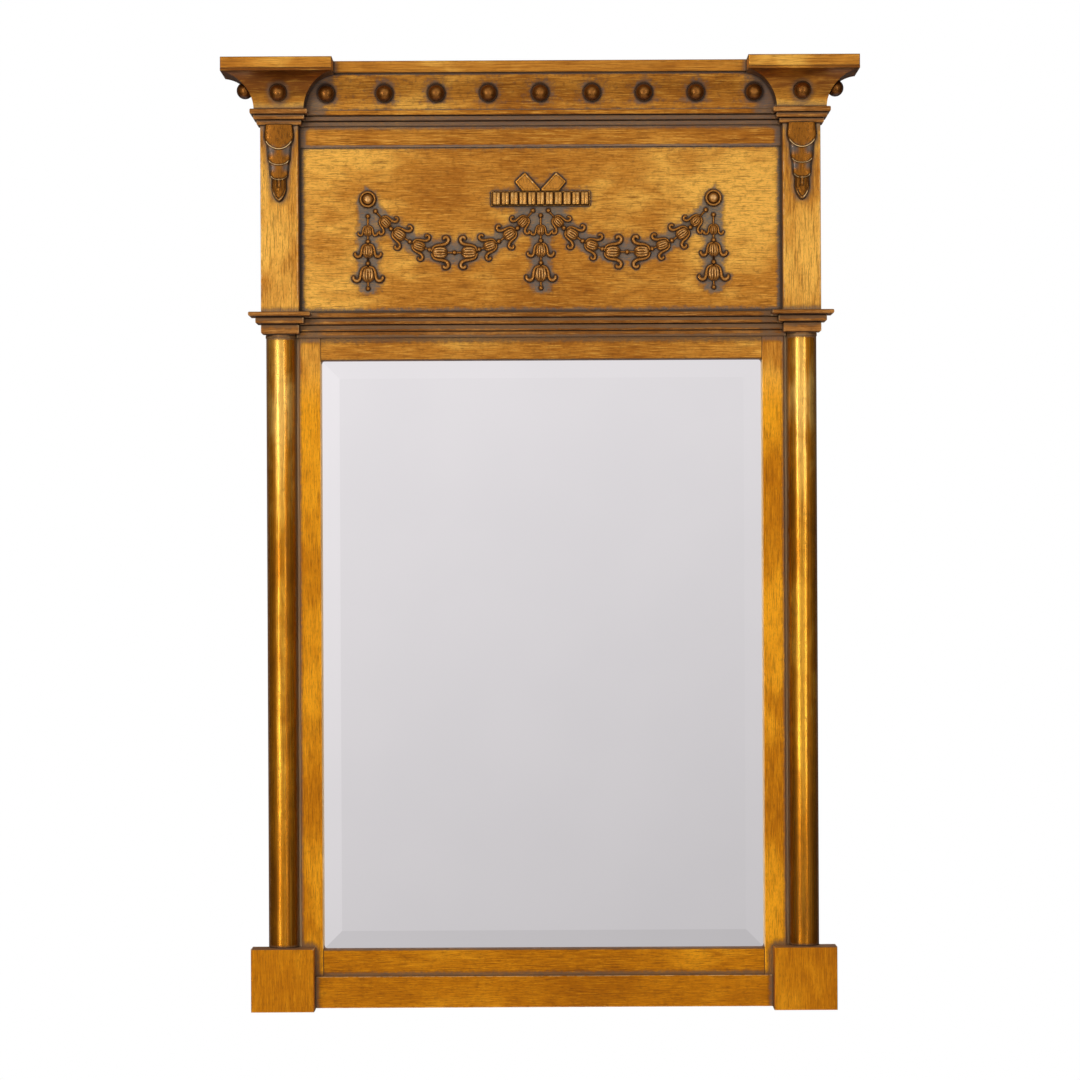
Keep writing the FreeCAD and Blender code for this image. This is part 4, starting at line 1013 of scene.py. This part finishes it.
def makePlate(bm):
    length, plate, height = ribbon["length"] * mm, ribbon["plate"] * mm, ribbon["height"] * mm
    ops.create_cube(bm, size=1.0)
    ops.scale(bm, vec=(length, plate, height), verts=bm.verts)
    front = [face for face in bm.faces if face.normal.y < -0.5]
    ops.inset_region(bm, faces=front, thickness=ribbon["border"] * mm)
    field = list({vert for face in front for vert in face.verts})
    ops.translate(bm, vec=(0, ribbon["sunk"] * mm, 0), verts=field)
    level = [edge for edge in bm.edges if len({round(vert.co.y, 6) for vert in edge.verts}) == 1]
    roundEdges(bm, [edge for edge in level if edge.calc_length() > 10 * mm], ribbon["plateRound"] * mm)
    ops.translate(bm, vec=(0, panelFace - plate / 2, frieze["roseZ"]), verts=bm.verts)


def reedMesh(middle):
    low = -ribbon["height"] / 2 + ribbon["border"] + ribbon["reedGap"]
    reed = bmesh.new()
    foot = [reed.verts.new((middle + x * ribbon["reedWidth"], -y, low)) for x, y in ribbon["reedSection"]]
    tall = ops.extrude_face_region(reed, geom=[reed.faces.new(foot)])
    ops.translate(reed, vec=(0, 0, -2 * low), verts=pick(tall["geom"], bmesh.types.BMVert))
    ends = []
    for edge in reed.edges:
        first, second = (vert.co for vert in edge.verts)
        if abs(first.z - second.z) < 0.001 and min(first.y, second.y) < -1.0:
            ends.append(edge)
    roundEdges(reed, ends, ribbon["reedRound"])
    return asMesh(reed, "reed")


def makeRibbonBar():
    bm = bmesh.new()
    makePlate(bm)
    start = -ribbon["length"] / 2 + ribbon["border"]
    pitch = -2 * start / ribbon["reeds"]
    spot = Matrix.Translation((0, panelFace, frieze["roseZ"])) @ Matrix.Scale(mm, 4)
    for count in range(ribbon["reeds"]):
        stamp(bm, reedMesh(start + (count + 0.5) * pitch), spot)
    finishPiece("ribbonBar", bm, ["ribbon_bar"], "giltRibbon", panelFace, ribbon["relief"], 45.0)


def tailMesh(side):
    tail = bmesh.new()
    outline = [bow["foot"], *bow["outerCorners"], *bow["innerCorners"]]
    corners = [tail.verts.new((x * side, 0.0, z)) for x, z in outline]
    raised = ops.extrude_face_region(tail, geom=[tail.faces.new(corners)])
    front = pick(raised["geom"], bmesh.types.BMVert)
    innerLevels = [z for x, z in bow["innerCorners"]]
    for vert in front:
        inner = min(abs(vert.co.z - level) for level in innerLevels) < 0.01
        vert.co.y = -bow["thickness"] + (0.0 if inner else bow["outerDrop"])
    rim = [edge for edge in tail.edges if all(vert in front for vert in edge.verts)]
    roundEdges(tail, rim, bow["round"], 3)
    tail.normal_update()
    ahead = [face for face in tail.faces if face.calc_center_median().y < -2.0]
    foremost = max(ahead, key=lambda face: face.calc_area())
    for inset in (bow["rim"], bow["dishEdge"]):
        ops.inset_region(tail, faces=[foremost], thickness=inset)
    ops.translate(tail, vec=(0, bow["dish"], 0), verts=list(foremost.verts))
    return asMesh(tail, "tail")


def makeBow():
    bm = bmesh.new()
    low = frieze["roseZ"] + ribbon["height"] / 2 * mm
    for side in (-1, 1):
        stamp(bm, tailMesh(side), Matrix.Translation((0, panelFace, low)) @ Matrix.Scale(mm, 4))
    finishPiece("bow.tails", bm, ["bow"], "giltBow", panelFace, bow["relief"], 40.0)


makeRibbonBar()
makeBow()

# Husk drops
# Three overlapped scales and a ribbed bud, in millimetres below the neck moulding
husk = {
    "top": 96.25,
    "across": 293.6,
    # half width at the top, top, half width where the rounding starts, its level, tip, roundness, relief
    "scales": ((15.6, 0, 16.8, 11.2, 28.2, 2, 6.6), (13.8, 20, 12.7, 36, 45.6, 2.35, 6.4),
               (11.5, 38, 10.3, 54, 62.2, 2.35, 6.2)),
    "bud": (7.8, 60.2, 8.3, 70.5, 86.4, 1.55, 6),
    # share of the width, height at the side, height along the rounded rim
    "scaleSection": ((0, 0.77, 0.77), (0.3, 0.76, 0.76), (0.55, 0.73, 0.74), (0.75, 0.66, 0.71),
                     (0.885, 0.56, 0.68), (0.9, 0.54, 0.72), (0.915, 0.52, 0.9), (0.93, 0.49, 0.965),
                     (0.972, 0.36, 0.965), (0.985, 0.28, 0.85), (1, 0, 0)),
    "budSection": ((0, 0.93, 0.8), (0.12, 0.93, 0.8), (0.22, 0.74, 0.7), (0.32, 0.76, 0.72), (0.42, 0.9, 0.85),
                   (0.5, 0.88, 0.83), (0.6, 0.68, 0.66), (0.74, 0.66, 0.66), (0.84, 0.8, 0.965),
                   (0.93, 0.74, 0.965), (0.965, 0.55, 0.8), (1, 0, 0)),
    "rimBlend": (2.5, -0.3),  # how fast the side passes into the rounded rim, and where it starts
    "weld": 0.002,
    "relief": 6.8 * mm,
}


def huskOutline(form):
    wide, top, half, turn, tip, roundness, relief = form
    right = [(wide, top), ((wide + half) / 2, (top + turn) / 2)]
    for angle in range(0, 90, 3):
        across, down = math.cos(math.radians(angle)), math.sin(math.radians(angle))
        right.append((half * across ** (2 / roundness), turn + (tip - turn) * down ** (2 / roundness)))
    return right + [(0.0, tip)] + [(-x, z) for x, z in reversed(right)]


def huskScale(form, section):
    wide, top, half, turn, tip, roundness, relief = form
    outline = huskOutline(form)
    slope, start = husk["rimBlend"]
    bm = bmesh.new()
    rings = []
    for share, side, rim in section:
        ring = []
        for x, z in outline:
            low = min(max((z - turn) / (tip - turn) * slope + start, 0.0), 1.0)
            height = (side + (rim - side) * low) * relief
            ring.append(bm.verts.new((x * share, -height, -(turn + (z - turn) * share if z > turn else z))))
        rings.append(ring)
    for inner, outer in zip(rings, rings[1:]):
        for count in range(len(outline) - 1):
            bm.faces.new((inner[count], inner[count + 1], outer[count + 1], outer[count]))
    bm.faces.new(rings[-1])
    bm.faces.new([ring[0] for ring in rings] + [ring[-1] for ring in reversed(rings)])
    ops.remove_doubles(bm, verts=bm.verts, dist=husk["weld"])
    ops.recalc_face_normals(bm, faces=bm.faces)
    return asMesh(bm, "huskScale")


def makeHuskDrops():
    for side, name in ((-1, "left"), (1, "right")):
        bm = bmesh.new()
        place = (side * husk["across"] * mm, pilasterFace, husk["top"] * mm)
        spot = Matrix.Translation(place) @ Matrix.Scale(mm, 4)
        for form in husk["scales"]:
            stamp(bm, huskScale(form, husk["scaleSection"]), spot)
        stamp(bm, huskScale(husk["bud"], husk["budSection"]), spot)
        finishPiece("huskDrop." + name, bm, ["husk_drop_" + name], "giltHusk", pilasterFace, husk["relief"],
                    50.0)


makeHuskDrops()

# Stage
stage = {
    "floorZ": -1.3,
    "floorRadius": 1.5,
    "floorY": 0.1,
    "floorFade": (0.6, 1.42),  # distances over which the floor passes into the white behind it
    "floorColour": (0.86, 0.86, 0.86),
    "ambient": 0.28,
    "backgroundWhite": 1.0,
}


def makeFloor():
    bm = bmesh.new()
    ops.create_circle(bm, cap_ends=True, segments=96, radius=stage["floorRadius"])
    ops.translate(bm, vec=(0.0, stage["floorY"], stage["floorZ"]), verts=bm.verts)
    floor = bpy.data.objects.new("floor", asMesh(bm, "floor"))
    scene.collection.objects.link(floor)
    newMaterial("paleFloor")
    floor.data.materials.append(bpy.data.materials["paleFloor"])
    spot = axes("TexCoord", "Object")
    offsetY = minus(spot["Y"], stage["floorY"])
    far = calc("SQRT", plus(times(spot["X"], spot["X"]), times(offsetY, offsetY)))
    shader = tree.nodes["Principled BSDF"]
    feed(shader.inputs["Base Color"], stage["floorColour"])
    feed(shader.inputs["Roughness"], 0.9)
    glow = addNode("Emission")
    shown = addNode("LightPath").outputs["Is Camera Ray"]
    mix = addNode("MixShader")
    sources = (times(ease(far, *stage["floorFade"]), shown), shader.outputs[0], glow.outputs[0])
    for socket, source in zip(mix.inputs, sources):
        feed(socket, source)
    feed(tree.nodes["Material Output"].inputs["Surface"], mix.outputs[0])


# The room that the glass and the gold reflect: its tone by direction, counted across and up per unit ahead
room = {
    "leastAhead": 0.25,
    "across": (-0.12, 0.12),  # the tone falls from left to right between these
    "acrossTone": -0.44,
    "besideStart": 0.1,  # and rises again on both sides
    "besideReach": 0.2,
    "besideTone": 0.3,
    "height": (-0.17, 0.09),
    "heightTone": 0.99,
    "tone": 0.71,
    "floorDark": (-1.5, -0.45, 0.35, 1.0),
    "sideDark": (0.1, 0.97, 0.11, 1.0),
}


def roomTone():
    way = axes("TexCoord", "Generated")
    forward = times(way["Y"], -1.0)
    ahead = larger(forward, room["leastAhead"])
    right = calc("DIVIDE", way["X"], ahead)
    up = calc("DIVIDE", way["Z"], ahead)
    across = between(right, *room["across"])
    beside = between(minus(size(right), room["besideStart"]), 0.0, room["besideReach"])
    height = between(up, *room["height"])
    tone = plus(times(across, room["acrossTone"]), times(height, room["heightTone"]),
                times(beside, room["besideTone"]), room["tone"])
    return times(tone, ease(up, *room["floorDark"]), ease(forward, *room["sideDark"]))


# White behind the object, the soft pale room in reflections, and an even light on everything else
def makeWorld():
    scene.world = bpy.data.worlds.new("studio")
    scene.world.use_nodes = True
    startTree(scene.world.node_tree)
    rays = addNode("LightPath").outputs
    glossy, seen = rays["Is Glossy Ray"], rays["Is Camera Ray"]
    plain = inverse(larger(glossy, seen))
    total = plus(times(seen, stage["backgroundWhite"]), times(glossy, roomTone()),
                 times(plain, stage["ambient"]))
    feedAll(tree.nodes["Background"], Color=(1.0, 1.0, 1.0), Strength=total)


lamps = {
    # place, target, width, height, power, seen in reflections
    "keyLamp": ((-1.5, -3, 1), (0, 0, -0.3), 1.6, 1.6, 95, False),
    "fillLamp": ((1.9, -2.6, 0.1), (0, 0, -0.4), 1.6, 1.6, 18, False),
    "crownLamp": ((0, -1, 2), (0, 0, 0), 1.4, 0.8, 14, False),
    "backLamp": ((0.6, 2.6, 0.9), (0, 0, -0.4), 1.6, 1.6, 62, False),
    "leftStrip": ((-1.75, -3.1, -0.4), (0, 0, -0.4), 0.26, 2.2, 17, True),
    "rightStrip": ((1.45, -3.1, -0.4), (0, 0, -0.4), 0.18, 2.2, 9, True),
}


def makeLamps():
    for name, (spot, target, width, height, power, reflected) in lamps.items():
        lamp = bpy.data.lights.new(name, "AREA")
        lamp.shape = "RECTANGLE"
        lamp.size = width
        lamp.size_y = height
        lamp.energy = power
        holder = bpy.data.objects.new(name, lamp)
        holder.location = spot
        holder.rotation_euler = (Vector(target) - Vector(spot)).to_track_quat("-Z", "Y").to_euler()
        holder.visible_glossy = reflected
        scene.collection.objects.link(holder)


view = {
    "place": (0.0, -3.474, -0.41615),
    "roll": 0.27,
    "data": {"sensor_width": 36.0, "lens": 101.9, "shift_x": -0.0022, "shift_y": 0.037, "clip_start": 0.05},
}


def makeCamera():
    data = bpy.data.cameras.new("camera")
    for key, value in view["data"].items():
        setattr(data, key, value)
    camera = bpy.data.objects.new("camera", data)
    camera.location = view["place"]
    camera.rotation_euler = (math.radians(90.0), math.radians(view["roll"]), 0.0)
    scene.collection.objects.link(camera)
    scene.camera = camera


makeFloor()
makeWorld()
makeLamps()
makeCamera()
scene.view_settings.view_transform = "Standard"
print("stage, lamps and camera set")
